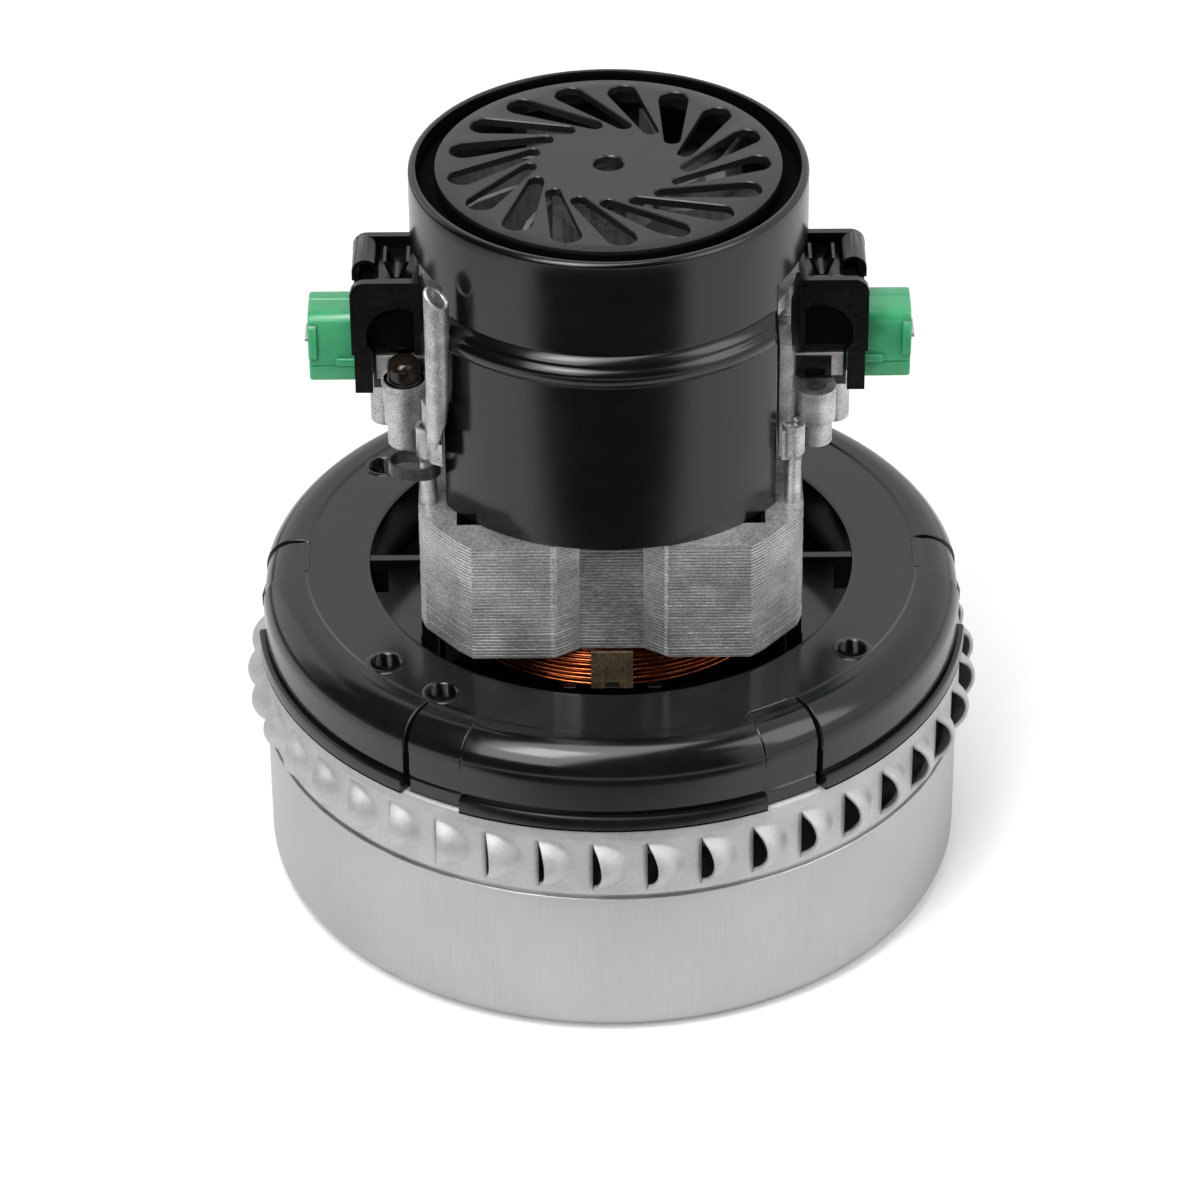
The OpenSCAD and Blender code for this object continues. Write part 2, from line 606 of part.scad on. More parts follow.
module cheek() difference() {
    union() {
        translate([guard_x0, guard_z]) square([guard_x1 - guard_x0 - guard_corner, guard_h]);
        translate([guard_x1 - 5, guard_z]) square([5, guard_h - guard_corner]);
        translate([guard_x1 - guard_corner, guard_z + guard_h - guard_corner]) circle(r = guard_corner);
        translate([guard_x1 - 4, leg_low]) square([3.5, guard_z - leg_low + 1]);
    }
    translate([window_x, guard_z + window_low]) square([guard_x1 - window_end - window_x, 2.6]);
    translate([window_x, guard_z + window_low])
        square([guard_x1 - window_end - window_r - window_x, 2.5 + window_r]);
    translate([guard_x1 - window_end - window_r, guard_z + window_low + 2.5]) circle(r = window_r);
}

// A leaf that is folded to a V, between the walls of the guard's pocket
module pocket_leaf(x, z) translate([x, 0, z]) rotate([90, 0, 0]) linear_extrude(6, center = true) polygon([
    [-2.6, 4.4], [-2, 4.4], [-0.4, 0.8], [0.4, 0.8], [2, 4.4], [2.6, 4.4], [1, 0.2], [-1, 0.2]]);

module brush_guard() color([0.05, 0.05, 0.055]) {
    cheek_top = guard_z + guard_h;
    for (y = [guard_y, -guard_y + guard_t])
        translate([0, y, 0]) rotate([90, 0, 0]) linear_extrude(guard_t) cheek();
    // Skins behind the windows, and the wall on the side of the motor
    for (y = [guard_skin_y, -guard_skin_y - 1])
        bar(guard_in, guard_x1 - 1.5, y, y + 1, guard_z, cheek_top - 3);
    for (y = [guard_skin_y, -guard_y])
        bar(guard_in, guard_x0, y, y + guard_y - guard_skin_y, guard_z, cheek_top - 1);
    bar(guard_in, guard_x0, -guard_y, guard_y, cheek_top - 7, cheek_top);
    // Roof between the cheeks, the pocket with its leaf, and the rolled edge
    bar(guard_in, guard_x1 - 2, -guard_y + guard_t, guard_y - guard_t, cheek_top - 4.6, cheek_top - 3);
    bar(guard_x0, guard_x1 - 5, -guard_y + guard_t, -guard_y + guard_t + 1.6, cheek_top - 4, cheek_top - 0.8);
    translate([0, pocket_y + 0.6, 0]) pocket_leaf(guard_x0 + 3.4, cheek_top - 3.3);
    difference() {
        union() {
            translate([curl_x, guard_y - guard_t, cheek_top - curl_r]) rotate([90, 0, 0])
                cylinder(r = curl_r, h = guard_y - guard_t - pocket_y);
            bar(curl_x - curl_r, curl_x + curl_r, pocket_y, guard_y - guard_t,
                cheek_top - 4.6, cheek_top - curl_r);
        }
        translate([curl_x, guard_y, cheek_top - curl_r]) rotate([90, 0, 0])
            cylinder(r = curl_r - 0.8, h = 2 * guard_y);
        bar(curl_x - curl_r + 0.8, curl_x + curl_r - 0.8, -guard_y, guard_y,
            cheek_top - 5, cheek_top - curl_r);
    }
}
module left_brush_guard() side(-1) brush_guard();
module right_brush_guard() side(1) brush_guard();

module brush_insulator() color([0.1, 0.6, 0.38]) {
    low = brush_z - holder_h / 2;
    half = holder_w / 2;
    difference() {
        union() {
            bar(insulator_x, holder_end, -half, half, low, low + holder_h);
            // Flange round the outer end, a rib on top and the guide tabs that stop at the guard
            bar(holder_end - 1.8, holder_end, -half - insulator_flange, half + insulator_flange,
                low + 3.4, low + holder_h - 1.4);
            for (y = [-1, 1])
                bar(guard_x1 - 1, guard_x1 + 3.2, y * half - 0.7, y * half + 0.7, low + 2.6, low + 4.2);
            bar(guard_x1 - 1, holder_end - insulator_step, -half + 0.7, half - 3.4,
                low + holder_h - 0.5, low + holder_h + 0.5);
        }
        bar(insulator_x - 1, tube_out_x, -tube_w / 2 - seat_gap, tube_w / 2 + seat_gap,
            brush_z - tube_h / 2 - seat_gap, brush_z + tube_h / 2 + seat_gap);
        // Slot for the terminal, the step of the lower strip, and the groove along each side
        bar(tube_out_x - 1, holder_end + 1, -3.2, 3.2, brush_z - 0.5, brush_z + 0.5);
        bar(holder_end - 0.7, holder_end + 1, -half - 1, half + 1, low - 1, low + 2.4);
        for (y = [-1, 1])
            bar(saddle_x + 2, holder_end + 1, y * half - 0.35, y * half + 0.35, low + 2.1, low + 2.6);
    }
}
module left_brush_insulator() side(-1) brush_insulator();
module right_brush_insulator() side(1) brush_insulator();

module brush_tube() color([0.75, 0.6, 0.25]) difference() {
    bar(tube_in_x, tube_out_x - seat_gap, -tube_w / 2, tube_w / 2, brush_z - tube_h / 2, brush_z + tube_h / 2);
    bar(tube_in_x - 1, tube_out_x - 1, -tube_w / 2 + tube_t, tube_w / 2 - tube_t,
        brush_z - tube_h / 2 + tube_t, brush_z + tube_h / 2 - tube_t);
}
module left_brush_tube() side(-1) brush_tube();
module right_brush_tube() side(1) brush_tube();

module terminal() color([0.8, 0.8, 0.78])
    bar(tube_out_x - seat_gap, holder_end + 0.8, -3, 3, brush_z - 0.4, brush_z + 0.4);
module left_terminal() side(-1) terminal();
module right_terminal() side(1) terminal();

module brush() color([0.16, 0.16, 0.17]) difference() {
    bar(commutator_r - 1, brush_back_x, -brush_w / 2, brush_w / 2, brush_z - brush_h / 2, brush_z + brush_h / 2);
    translate([0, 0, brush_z - brush_h]) cylinder(r = commutator_r + brush_gap, h = 2 * brush_h);
}
module left_brush() side(-1) brush();
module right_brush() side(1) brush();

module brush_spring() color("silver") {
    turns = 7;
    wire_r = 0.35;
    coil_r = 2.3;
    x0 = brush_back_x + 0.3 + wire_r;
    x1 = tube_out_x - 1.3 - wire_r;
    for (i = [0:turns - 1]) translate([x0 + (x1 - x0) * i / (turns - 1), 0, brush_z]) rotate([0, 90, 0])
        rotate_extrude($fn = 24) translate([coil_r, 0]) circle(r = wire_r, $fn = 8);
}
module left_brush_spring() side(-1) brush_spring();
module right_brush_spring() side(1) brush_spring();

// Rotor

module shaft() color("silver") {
    translate([0, 0, shaft_low]) cylinder(r = shaft_r, h = shaft_top - shaft_low);
}

module armature_slot(r) {
    translate([armature_r - 5, 0]) circle(r = r);
    translate([armature_r - 5, -0.9]) square([7, 1.8]);
}
module armature_core() color("gray") translate([0, 0, stator_z]) linear_extrude(stator_h) difference() {
    circle(r = armature_r);
    circle(r = shaft_r);
    for (i = [0:slot_n - 1]) rotate(i * 360 / slot_n) armature_slot(3);
}
module armature_winding() color([0.72, 0.35, 0.12]) {
    winding_low = hub_top + 0.8;
    rotate_extrude() polygon([[shaft_r + 2, stator_z - 0.3], [shaft_r + 2, winding_low + 1], [shaft_r + 4, winding_low],
        [armature_r - 5, winding_low], [armature_r - 2.6, winding_low + 2], [armature_r - 2.2, stator_z - 0.3]]);
    rotate_extrude() polygon([[shaft_r + 2, stator_top + 0.3], [armature_r - 2.2, stator_top + 0.3],
        [armature_r - 2.6, stator_top + 7], [armature_r - 6, stator_top + 10], [commutator_r - 1, commutator_z - 1],
        [shaft_r + 2, commutator_z - 1]]);
    for (i = [0:slot_n - 1]) rotate(i * 360 / slot_n) translate([armature_r - 5, 0, stator_z - 1])
        cylinder(r = 2.7, h = stator_h + 2, $fn = 24);
}
module commutator_hub() color([0.35, 0.2, 0.1]) translate([0, 0, commutator_z - 0.8])
    tube(commutator_r - 4.1, shaft_r, commutator_h + 1.4);
module commutator_bars() color([0.8, 0.45, 0.2]) translate([0, 0, commutator_z]) linear_extrude(commutator_h) difference() {
    circle(r = commutator_r);
    circle(r = commutator_r - 4);
    for (i = [0:commutator_n - 1]) rotate(i * 360 / commutator_n) translate([0, -0.25]) square([commutator_r + 1, 0.5]);
}

module cooling_fan() color([0.6, 0.61, 0.62]) translate([0, 0, fan_z]) {
    difference() {
        union() {
            cylinder(r = fan_r, h = 1.2);
            cylinder(r = fan_hub_r, h = fan_hub_h);
        }
        translate([0, 0, -1]) cylinder(r = shaft_r, h = fan_h + 2);
    }
    for (i = [0:8]) rotate(i * 40) translate([0, 0, 1.2])
        linear_extrude(fan_h - 1.2) polygon(blade(fan_hub_r + 3, fan_r - 0.5, 38, 1.3, 4));
}
module cooling_fan_nut() color("silver") translate([0, 0, fan_z + fan_hub_h]) difference() {
    cylinder(r = fan_hub_r - 2, h = fan_nut_h, $fn = 6);
    translate([0, 0, -1]) cylinder(r = shaft_r, h = fan_nut_h + 2);
}
module top_spacer() color("silver") translate([0, 0, top_bearing_z + bearing_w])
    tube(race_mid - 1.3, shaft_r, fan_z - top_bearing_z - bearing_w);

function eye_z(r) = eye_rise * (r - eye_r) / (impeller_r - eye_r);

module eye_plate(z) color([0.75, 0.76, 0.77]) rotate_extrude($fn = 120) polygon([[eye_r, z], [impeller_r, z + eye_rise],
    [impeller_r, z + eye_rise + impeller_t], [eye_r, z + impeller_t]]);
module back_plate(z) color([0.75, 0.76, 0.77]) translate([0, 0, z]) tube(impeller_r, shaft_r, impeller_t);
module vanes(eye, back) color([0.7, 0.71, 0.72]) intersection() {
    for (i = [0:vane_n - 1]) rotate(i * 360 / vane_n) translate([0, 0, eye])
        linear_extrude(back - eye) polygon(blade(eye_r + 1, impeller_r - 0.6, -70, 0.8, 8));
    rotate_extrude() polygon([[eye_r + 0.2, eye + impeller_t + eye_z(eye_r + 0.2)],
        [impeller_r, eye + impeller_t + eye_rise], [impeller_r, back], [eye_r + 0.2, back]]);
}
module first_impeller_eye_plate() eye_plate(first_eye_z);
module first_impeller_vanes() vanes(first_eye_z, first_back_z);
module first_impeller_back_plate() back_plate(first_back_z);
module second_impeller_eye_plate() eye_plate(second_eye_z);
module second_impeller_vanes() vanes(second_eye_z, second_back_z);
module second_impeller_back_plate() back_plate(second_back_z);

module impeller_spacer() color("silver") translate([0, 0, first_back_z + impeller_t])
    tube(spacer_r, shaft_r, second_back_z - first_back_z - impeller_t);
module bearing_spacer() color("silver") translate([0, 0, second_back_z + impeller_t])
    tube(spacer_r - 0.2, shaft_r, low_bearing_z - second_back_z - impeller_t);
module impeller_washer() color("silver") translate([0, 0, first_back_z - washer_t]) tube(9, shaft_r, washer_t);
module impeller_nut() color("silver") translate([0, 0, first_back_z - washer_t - nut_h]) difference() {
    cylinder(r = 7.5, h = nut_h, $fn = 6);
    translate([0, 0, -1]) cylinder(r = shaft_r, h = nut_h + 2);
}

fan_shell();
stationary_fan();
stage_divider();
discharge_ring();
fan_bracket();
shaft_seal();
outer_race(low_bearing_z);  // lower_bearing_outer_race
stator_core();
slot_insulators();
front_field_coil();
rear_field_coil();
coil_end_tabs();
commutator_bracket();
stator_screws();
outer_race(top_bearing_z);  // upper_bearing_outer_race
bearing_wave_spring();
motor_cover();
left_brush_guard();
right_brush_guard();
left_brush_insulator();
right_brush_insulator();
left_brush_tube();
right_brush_tube();
left_terminal();
right_terminal();
left_boss_screw();
lead_clip();
left_brush();
right_brush();
left_brush_spring();
right_brush_spring();
shaft();
armature_core();
armature_winding();
commutator_hub();
commutator_bars();
inner_race(low_bearing_z);  // lower_bearing_inner_race
balls(low_bearing_z);  // lower_bearing_balls
inner_race(top_bearing_z);  // upper_bearing_inner_race
balls(top_bearing_z);  // upper_bearing_balls
cooling_fan();
cooling_fan_nut();
top_spacer();
first_impeller_eye_plate();
first_impeller_vanes();
first_impeller_back_plate();
second_impeller_eye_plate();
second_impeller_vanes();
second_impeller_back_plate();
impeller_spacer();
bearing_spacer();
impeller_washer();
impeller_nut();
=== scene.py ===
import math

import bmesh
import bpy
import numpy as np
from mathutils import Matrix, Vector
from mathutils.geometry import tessellate_polygon


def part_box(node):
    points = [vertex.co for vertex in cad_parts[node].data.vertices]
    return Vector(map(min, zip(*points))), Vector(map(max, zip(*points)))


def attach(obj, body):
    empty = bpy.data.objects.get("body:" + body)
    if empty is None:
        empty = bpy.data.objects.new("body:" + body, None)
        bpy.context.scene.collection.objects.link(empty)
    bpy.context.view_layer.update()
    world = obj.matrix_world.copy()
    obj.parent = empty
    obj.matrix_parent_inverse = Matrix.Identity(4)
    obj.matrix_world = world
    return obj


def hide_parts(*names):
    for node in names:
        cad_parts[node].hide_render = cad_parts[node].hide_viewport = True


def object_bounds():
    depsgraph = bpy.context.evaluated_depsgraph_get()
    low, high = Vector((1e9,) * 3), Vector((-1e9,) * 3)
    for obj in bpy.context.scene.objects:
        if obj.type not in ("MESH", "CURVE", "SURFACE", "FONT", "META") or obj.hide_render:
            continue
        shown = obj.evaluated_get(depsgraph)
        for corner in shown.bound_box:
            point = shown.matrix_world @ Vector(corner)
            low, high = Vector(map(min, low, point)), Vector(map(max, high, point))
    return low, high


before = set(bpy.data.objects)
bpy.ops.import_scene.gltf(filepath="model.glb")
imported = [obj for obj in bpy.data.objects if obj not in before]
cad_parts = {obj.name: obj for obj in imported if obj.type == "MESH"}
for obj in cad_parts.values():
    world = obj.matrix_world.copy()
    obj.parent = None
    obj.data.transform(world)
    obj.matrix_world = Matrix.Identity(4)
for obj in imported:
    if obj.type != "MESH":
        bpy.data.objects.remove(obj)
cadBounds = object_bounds()
scene = bpy.context.scene
mm = 0.001


# Sizes that the frame gives, in millimetres
def sizeOf(node):
    low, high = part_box(node)
    return np.array(low) / mm, np.array(high) / mm


case = {"ringInset": 0.2, "plateDrop": 1.1}
shellHigh = sizeOf("fan_shell")[1]
ringLow, ringHigh = sizeOf("discharge_ring")
bracketHigh = sizeOf("fan_bracket")[1]
statorLow, statorHigh = sizeOf("stator_core")
coverHigh = sizeOf("motor_cover")[1]
lipRadius = shellHigh[0]
ringRadius = lipRadius - case["ringInset"]
flangeRadius = bracketHigh[1]
plateTop = statorLow[2] - case["plateDrop"]
print("frame loaded, case diameter", round(2 * lipRadius, 1), "mm")


# Materials
def addNode(tree, kind, values=None, **settings):
    node = tree.nodes.new(kind)
    for key, value in settings.items():
        setattr(node, key, value)
    for key, value in (values or {}).items():
        node.inputs[key].default_value = value
    return node


def mathNode(tree, operation, values=None):
    return addNode(tree, "ShaderNodeMath", values, operation=operation)


def addLinks(tree, *links):
    # each link is a node, its output, the next node and its input
    for source, outlet, target, inlet in links:
        tree.links.new(source.outputs[outlet], target.inputs[inlet])


def grainNode(tree, coords, scale, stretch, detail):
    # noise on stretched object coordinates, scale in features for each metre
    mapping = addNode(tree, "ShaderNodeMapping", {"Scale": stretch})
    noise = addNode(tree, "ShaderNodeTexNoise", {"Scale": scale, "Detail": detail})
    addLinks(tree, (coords, "Object", mapping, "Vector"), (mapping, "Vector", noise, "Vector"))
    return noise


def makeMaterial(name, look):
    material = bpy.data.materials.new(name)
    material.use_nodes = True
    tree = material.node_tree
    shader = tree.nodes["Principled BSDF"]
    coords = addNode(tree, "ShaderNodeTexCoord")
    for key, value in look["sockets"].items():
        shader.inputs[key].default_value = value
    shader.inputs["Metallic"].default_value = look["metal"]
    # colour and roughness go from dark to light with the grain and with broad clouds
    grain = grainNode(tree, coords, look["grain"], look["stretch"], look["detail"])
    cloud = grainNode(tree, coords, look["cloud"], (1, 1, 1), 2.0)
    blend = addNode(tree, "ShaderNodeMix", {"Factor": look["cloudShare"]}, data_type="FLOAT")
    ramp = addNode(tree, "ShaderNodeMapRange", {"From Min": 0.35, "From Max": 0.65})
    color = addNode(tree, "ShaderNodeMix", {6: (*look["dark"], 1), 7: (*look["light"], 1)}, data_type="RGBA")
    rough = addNode(tree, "ShaderNodeMapRange", {"To Min": look["rough"][0], "To Max": look["rough"][1]})
    bump = addNode(tree, "ShaderNodeBump", {"Strength": 1.0, "Distance": look["bump"] * mm})
    addLinks(tree, (grain, "Fac", blend, 2), (cloud, "Fac", blend, 3), (blend, 0, ramp, "Value"),
        (ramp, "Result", color, 0), (color, 2, shader, "Base Color"), (ramp, "Result", rough, "Value"),
        (rough, "Result", shader, "Roughness"), (grain, "Fac", bump, "Height"),
        (bump, "Normal", shader, "Normal"))
    return material


def grey(value):
    return (value, value, value)


def makeLook(dark, light, rough, grain, **more):
    # a single number stands for a grey
    dark, light = [grey(tone) if isinstance(tone, float) else tone for tone in (dark, light)]
    plain = {"metal": 0.0, "bump": 0.01, "stretch": (1, 1, 1), "detail": 3.0, "cloud": 40, "cloudShare": 0.35,
        "sockets": {}}
    return {**plain, "dark": dark, "light": light, "rough": rough, "grain": grain, **more}


looks = {
    "shell_aluminium": makeLook(0.4, 0.46, (0.32, 0.4), 3200, metal=0.9, bump=0.004, stretch=(1, 1, 0.03),
        cloud=60, cloudShare=0.45),
    "ring_aluminium": makeLook(0.47, 0.6, (0.55, 0.68), 1600, metal=0.8, bump=0.012, cloud=160,
        cloudShare=0.5),
    "stage_aluminium": makeLook(0.42, 0.52, (0.4, 0.5), 900, metal=0.8),
    "bracket_plastic": makeLook(0.003, 0.006, (0.13, 0.19), 260, bump=0.006, cloud=30, cloudShare=0.6),
    "cover_plastic": makeLook(0.0015, 0.003, (0.16, 0.22), 260, bump=0.004, cloud=25, cloudShare=0.6),
    "grille_plastic": makeLook(0.006, 0.01, (0.3, 0.4), 1500, bump=0.012, cloud=90, cloudShare=0.5),
    "guard_plastic": makeLook(0.001, 0.003, (0.16, 0.26), 900, bump=0.012, cloud=120),
    # painted shade: matte black with almost no reflection, for the groove round the grille and the skins
    # behind the guards' windows
    "painted_shade_recess": makeLook(0.001, 0.002, (0.7, 0.9), 900, sockets={"Specular IOR Level": 0.05}),
    "insulator_plastic": makeLook((0.02, 0.235, 0.095), (0.045, 0.34, 0.15), (0.26, 0.36), 300, cloud=70,
        cloudShare=0.7, sockets={
        "Subsurface Weight": 0.6, "Subsurface Radius": (0.6, 1.0, 0.7),
        "Subsurface Scale": 0.004, "Coat Weight": 0.2}),
    "cast_aluminium": makeLook(0.26, 0.78, (0.3, 0.5), 3000, metal=0.92, bump=0.09, detail=5.0, cloud=260,
        cloudShare=0.45),
    "lamination_steel": makeLook(0.32, 0.74, (0.3, 0.42), 1700, metal=0.7, bump=0.02, stretch=(1, 1, 3),
        cloud=120, cloudShare=0.4),
    # lighter and darker copies of the lamination steel: painted highlight on the recess's edges, painted
    # shade in the recess
    "lamination_painted_highlight": makeLook(0.5, 0.85, (0.26, 0.36), 1700, metal=0.6, bump=0.02, stretch=(1, 1, 3),
        cloud=120),
    "lamination_painted_shade": makeLook(0.2, 0.5, (0.36, 0.5), 1200, metal=0.6, bump=0.02, stretch=(1, 1, 3),
        cloud=120, cloudShare=0.4),
    "winding_copper": makeLook((0.2, 0.045, 0.01), (0.85, 0.27, 0.06), (0.12, 0.22), 500, metal=0.95,
        cloud=90, cloudShare=0.6, sockets={
        "Coat Weight": 0.6, "Coat Roughness": 0.15, "Coat Tint": (1, 0.6, 0.35, 1)}),
    "slot_paper": makeLook((0.22, 0.18, 0.12), (0.36, 0.3, 0.2), (0.6, 0.8), 900),
    "card_black": makeLook((0.03, 0.027, 0.022), (0.13, 0.09, 0.04), (0.4, 0.6), 1300, bump=0.03, cloud=200),
    "bright_steel": makeLook(0.45, 0.6, (0.2, 0.32), 1200, metal=0.95),
    "bearing_steel": makeLook(0.5, 0.6, (0.12, 0.2), 1500, metal=1.0),
    "dark_steel": makeLook(0.002, (0.02, 0.014, 0.009), (0.06, 0.14), 400, metal=0.3, cloud=180,
        cloudShare=0.7),
    "clip_steel": makeLook(0.02, 0.045, (0.24, 0.36), 700, metal=0.3),
    "brush_brass": makeLook((0.45, 0.32, 0.1), (0.6, 0.45, 0.16), (0.25, 0.35), 900, metal=0.95,
        stretch=(0.1, 1, 1)),
    "terminal_tin": makeLook(0.5, 0.62, (0.25, 0.4), 1200, metal=0.9),
    "carbon": makeLook(0.02, 0.04, (0.45, 0.6), 2200, bump=0.02),
    "commutator_copper": makeLook((0.5, 0.22, 0.1), (0.7, 0.35, 0.18), (0.2, 0.35), 1500, metal=0.95,
        stretch=(1, 1, 6)),
    "hub_resin": makeLook((0.09, 0.04, 0.02), (0.14, 0.07, 0.035), (0.35, 0.5), 600),
    "seal_felt": makeLook(0.03, 0.06, (0.8, 0.95), 2500, bump=0.1),
    # painted shade: a darker copy of the fan's aluminium, for the cooling fan that lies in shade under the
    # grille
    "fan_painted_shade": makeLook(0.2, 0.34, (0.3, 0.42), 700, metal=0.7, stretch=(1, 1, 0.3), cloud=60),
    "fan_aluminium": makeLook(0.42, 0.54, (0.34, 0.48), 1100, metal=0.7, cloud=120),
    }
materials = {slot: makeMaterial(slot, look) for slot, look in looks.items()}


def both(name):
    return ["left_" + name, "right_" + name]


nodeSlots = {
    "shell_aluminium": ["fan_shell"], "ring_aluminium": ["discharge_ring"],
    "stage_aluminium": ["stationary_fan", "stage_divider"], "bracket_plastic": ["fan_bracket"],
    "cover_plastic": ["motor_cover"], "guard_plastic": both("brush_guard"),
    "insulator_plastic": both("brush_insulator"), "cast_aluminium": ["commutator_bracket"],
    "lamination_steel": ["stator_core", "armature_core"],
    "winding_copper": ["front_field_coil", "rear_field_coil", "armature_winding"],
    "slot_paper": ["slot_insulators"], "card_black": ["coil_end_tabs"],
    "bright_steel": ["shaft", "stator_screws", "bearing_wave_spring", "cooling_fan_nut", "top_spacer",
        "impeller_spacer", "bearing_spacer", "impeller_washer", "impeller_nut"]
    + both("brush_spring"),
    "bearing_steel": [end + "_bearing_" + part for end in ("lower", "upper")
        for part in ("outer_race", "inner_race", "balls")],
    "dark_steel": ["left_boss_screw"], "clip_steel": ["lead_clip"], "brush_brass": both("brush_tube"),
    "terminal_tin": both("terminal"), "carbon": both("brush"), "commutator_copper": ["commutator_bars"],
    "hub_resin": ["commutator_hub"], "seal_felt": ["shaft_seal"],
    "fan_aluminium": ["cooling_fan"] + [stage + "_impeller_" + part for stage in ("first", "second")
        for part in ("eye_plate", "vanes", "back_plate")],
    }
for slot, names in nodeSlots.items():
    for nodeName in names:
        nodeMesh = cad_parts[nodeName].data
        nodeMesh.materials.clear()
        nodeMesh.materials.append(materials[slot])
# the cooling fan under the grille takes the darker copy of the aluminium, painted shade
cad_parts["cooling_fan"].data.materials[0] = materials["fan_painted_shade"]
print("materials made:", len(materials))


# Surfaces on grids
def gridFaces(rows, columns, closeRows=False, closeColumns=False):
    # one quad for each cell: (i, j), (i + 1, j), (i + 1, j + 1), (i, j + 1)
    i, j = np.meshgrid(np.arange(rows - (not closeRows)), np.arange(columns - (not closeColumns)),
        indexing="ij")
    nextI, nextJ = (i + 1) % rows, (j + 1) % columns
    corners = [i * columns + j, nextI * columns + j, nextI * columns + nextJ, i * columns + nextJ]
    return np.stack(corners, -1).reshape(-1, 4)


def revolve(profile, degrees, closedProfile=True):
    # x = r cos a, y = r sin a, z = z, for each angle a and each profile point (r, z)
    profile = np.asarray(profile, float)
    angle = np.radians(degrees)[:, None]
    r, z = profile[..., 0], profile[..., 1]
    points = np.stack([r * np.cos(angle), r * np.sin(angle), z + 0 * angle], -1)
    return points, gridFaces(len(degrees), points.shape[1], True, closedProfile)


def carry(profile, path, reference):
    # point = path + side * u + up * v, where side is square to the path and the reference, and up to both
    ahead = np.roll(path, -1, 0) - np.roll(path, 1, 0)
    ahead /= np.linalg.norm(ahead, axis=1, keepdims=True)
    side = np.cross(ahead, reference)
    side /= np.linalg.norm(side, axis=1, keepdims=True)
    up = np.cross(side, ahead)
    points = path[:, None] + side[:, None] * profile[None, :, :1] + up[:, None] * profile[None, :, 1:2]
    return points, gridFaces(len(path), len(profile), True, True)


def arc(centreR, centreZ, radius, fromDeg, toDeg, count):
    # points c + radius (cos a, sin a), for count angles a
    a = np.radians(np.linspace(fromDeg, toDeg, count))
    return np.stack([centreR + radius * np.cos(a), centreZ + radius * np.sin(a)], -1)


def smoothStep(x, start, end):
    # 3 t^2 - 2 t^3, with t from 0 at the start to 1 at the end
    t = np.clip((x - start) / (end - start), 0, 1)
    return t * t * (3 - 2 * t)


def ripple(degrees, seed, lowest, highest, count=14):
    # a sum of sines round the turn, with whole-number frequencies, scaled to lie between -1 and 1
    rng = np.random.default_rng(seed)
    waves = rng.integers(lowest, highest, count)
    phases = rng.uniform(0, 2 * np.pi, count)
    total = np.sin(np.radians(degrees)[..., None] * waves + phases).sum(-1)
    return total / np.abs(total).max()


def editMesh(mesh, edit):
    work = bmesh.new()
    work.from_mesh(mesh)
    edit(work)
    work.to_mesh(mesh)
    work.free()
    return mesh


def mergeDoubles(work, distance):
    bmesh.ops.remove_doubles(work, verts=work.verts, dist=distance * mm)


def joinFlat(work):
    bmesh.ops.dissolve_limit(work, angle_limit=math.radians(1), verts=work.verts, edges=work.edges)


def linkPiece(name, mesh, slot, replaced, sharp=30, look=None, body="housing"):
    editMesh(mesh, lambda work: mergeDoubles(work, 0.002))
    mesh.shade_smooth()
    mesh.set_sharp_from_angle(angle=math.radians(sharp))
    mesh.materials.clear()
    mesh.materials.append(materials[look or slot])
    piece = bpy.data.objects.new(name, mesh)
    scene.collection.objects.link(piece)
    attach(piece, body)
    if replaced:
        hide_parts(*replaced)
    return piece


def makePiece(name, parts, slot, replaced=(), sharp=32, look=None):
    # parts are pairs of points in millimetres and faces
    points, faces, start = [], [], 0
    for partPoints, partFaces in parts:
        partPoints = np.asarray(partPoints, float).reshape(-1, 3)
        points.append(partPoints)
        faces += [[int(corner) + start for corner in face] for face in partFaces]
        start += len(partPoints)
    mesh = bpy.data.meshes.new(name)
    mesh.from_pydata((np.concatenate(points) * mm).tolist(), [], faces)
    return linkPiece(name, mesh, slot, replaced, sharp, look)


def copyNode(node, join=False):
    # the node's mesh with its doubles merged and, where asked, its flat faces joined
    def edit(work):
        mergeDoubles(work, 0.001)
        if join:
            joinFlat(work)

    return editMesh(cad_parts[node].data.copy(), edit)


def dropFaces(mesh, chosen, join=False):
    # the test gets the middle of a face in millimetres, and its normal
    def edit(work):
        faces = [face for face in work.faces if chosen(np.array(face.calc_center_median()) / mm, face.normal)]
        bmesh.ops.delete(work, geom=faces, context="FACES")
        if join:
            joinFlat(work)

    return editMesh(mesh, edit)


def applyModifiers(piece):
    mesh = bpy.data.meshes.new_from_object(piece.evaluated_get(bpy.context.evaluated_depsgraph_get()))
    piece.modifiers.clear()
    piece.data = mesh


def addBevel(piece, width, segments=2, angle=28):
    bevel = piece.modifiers.new("rounding", "BEVEL")
    bevel.width = width * mm
    bevel.segments = segments
    bevel.limit_method = "ANGLE"
    bevel.angle_limit = math.radians(angle)
    bevel.harden_normals = True


# Fan shell: a deep drawn pan, with a lip at the seam and a collar round the inlet
shell = {"corner": 4.5, "wall": 0.9, "lipOut": 0.6, "lipHeight": 1.0, "lipRipple": 0.06, "inlet": 20.0,
    "collar": 4.0, "turns": 480}


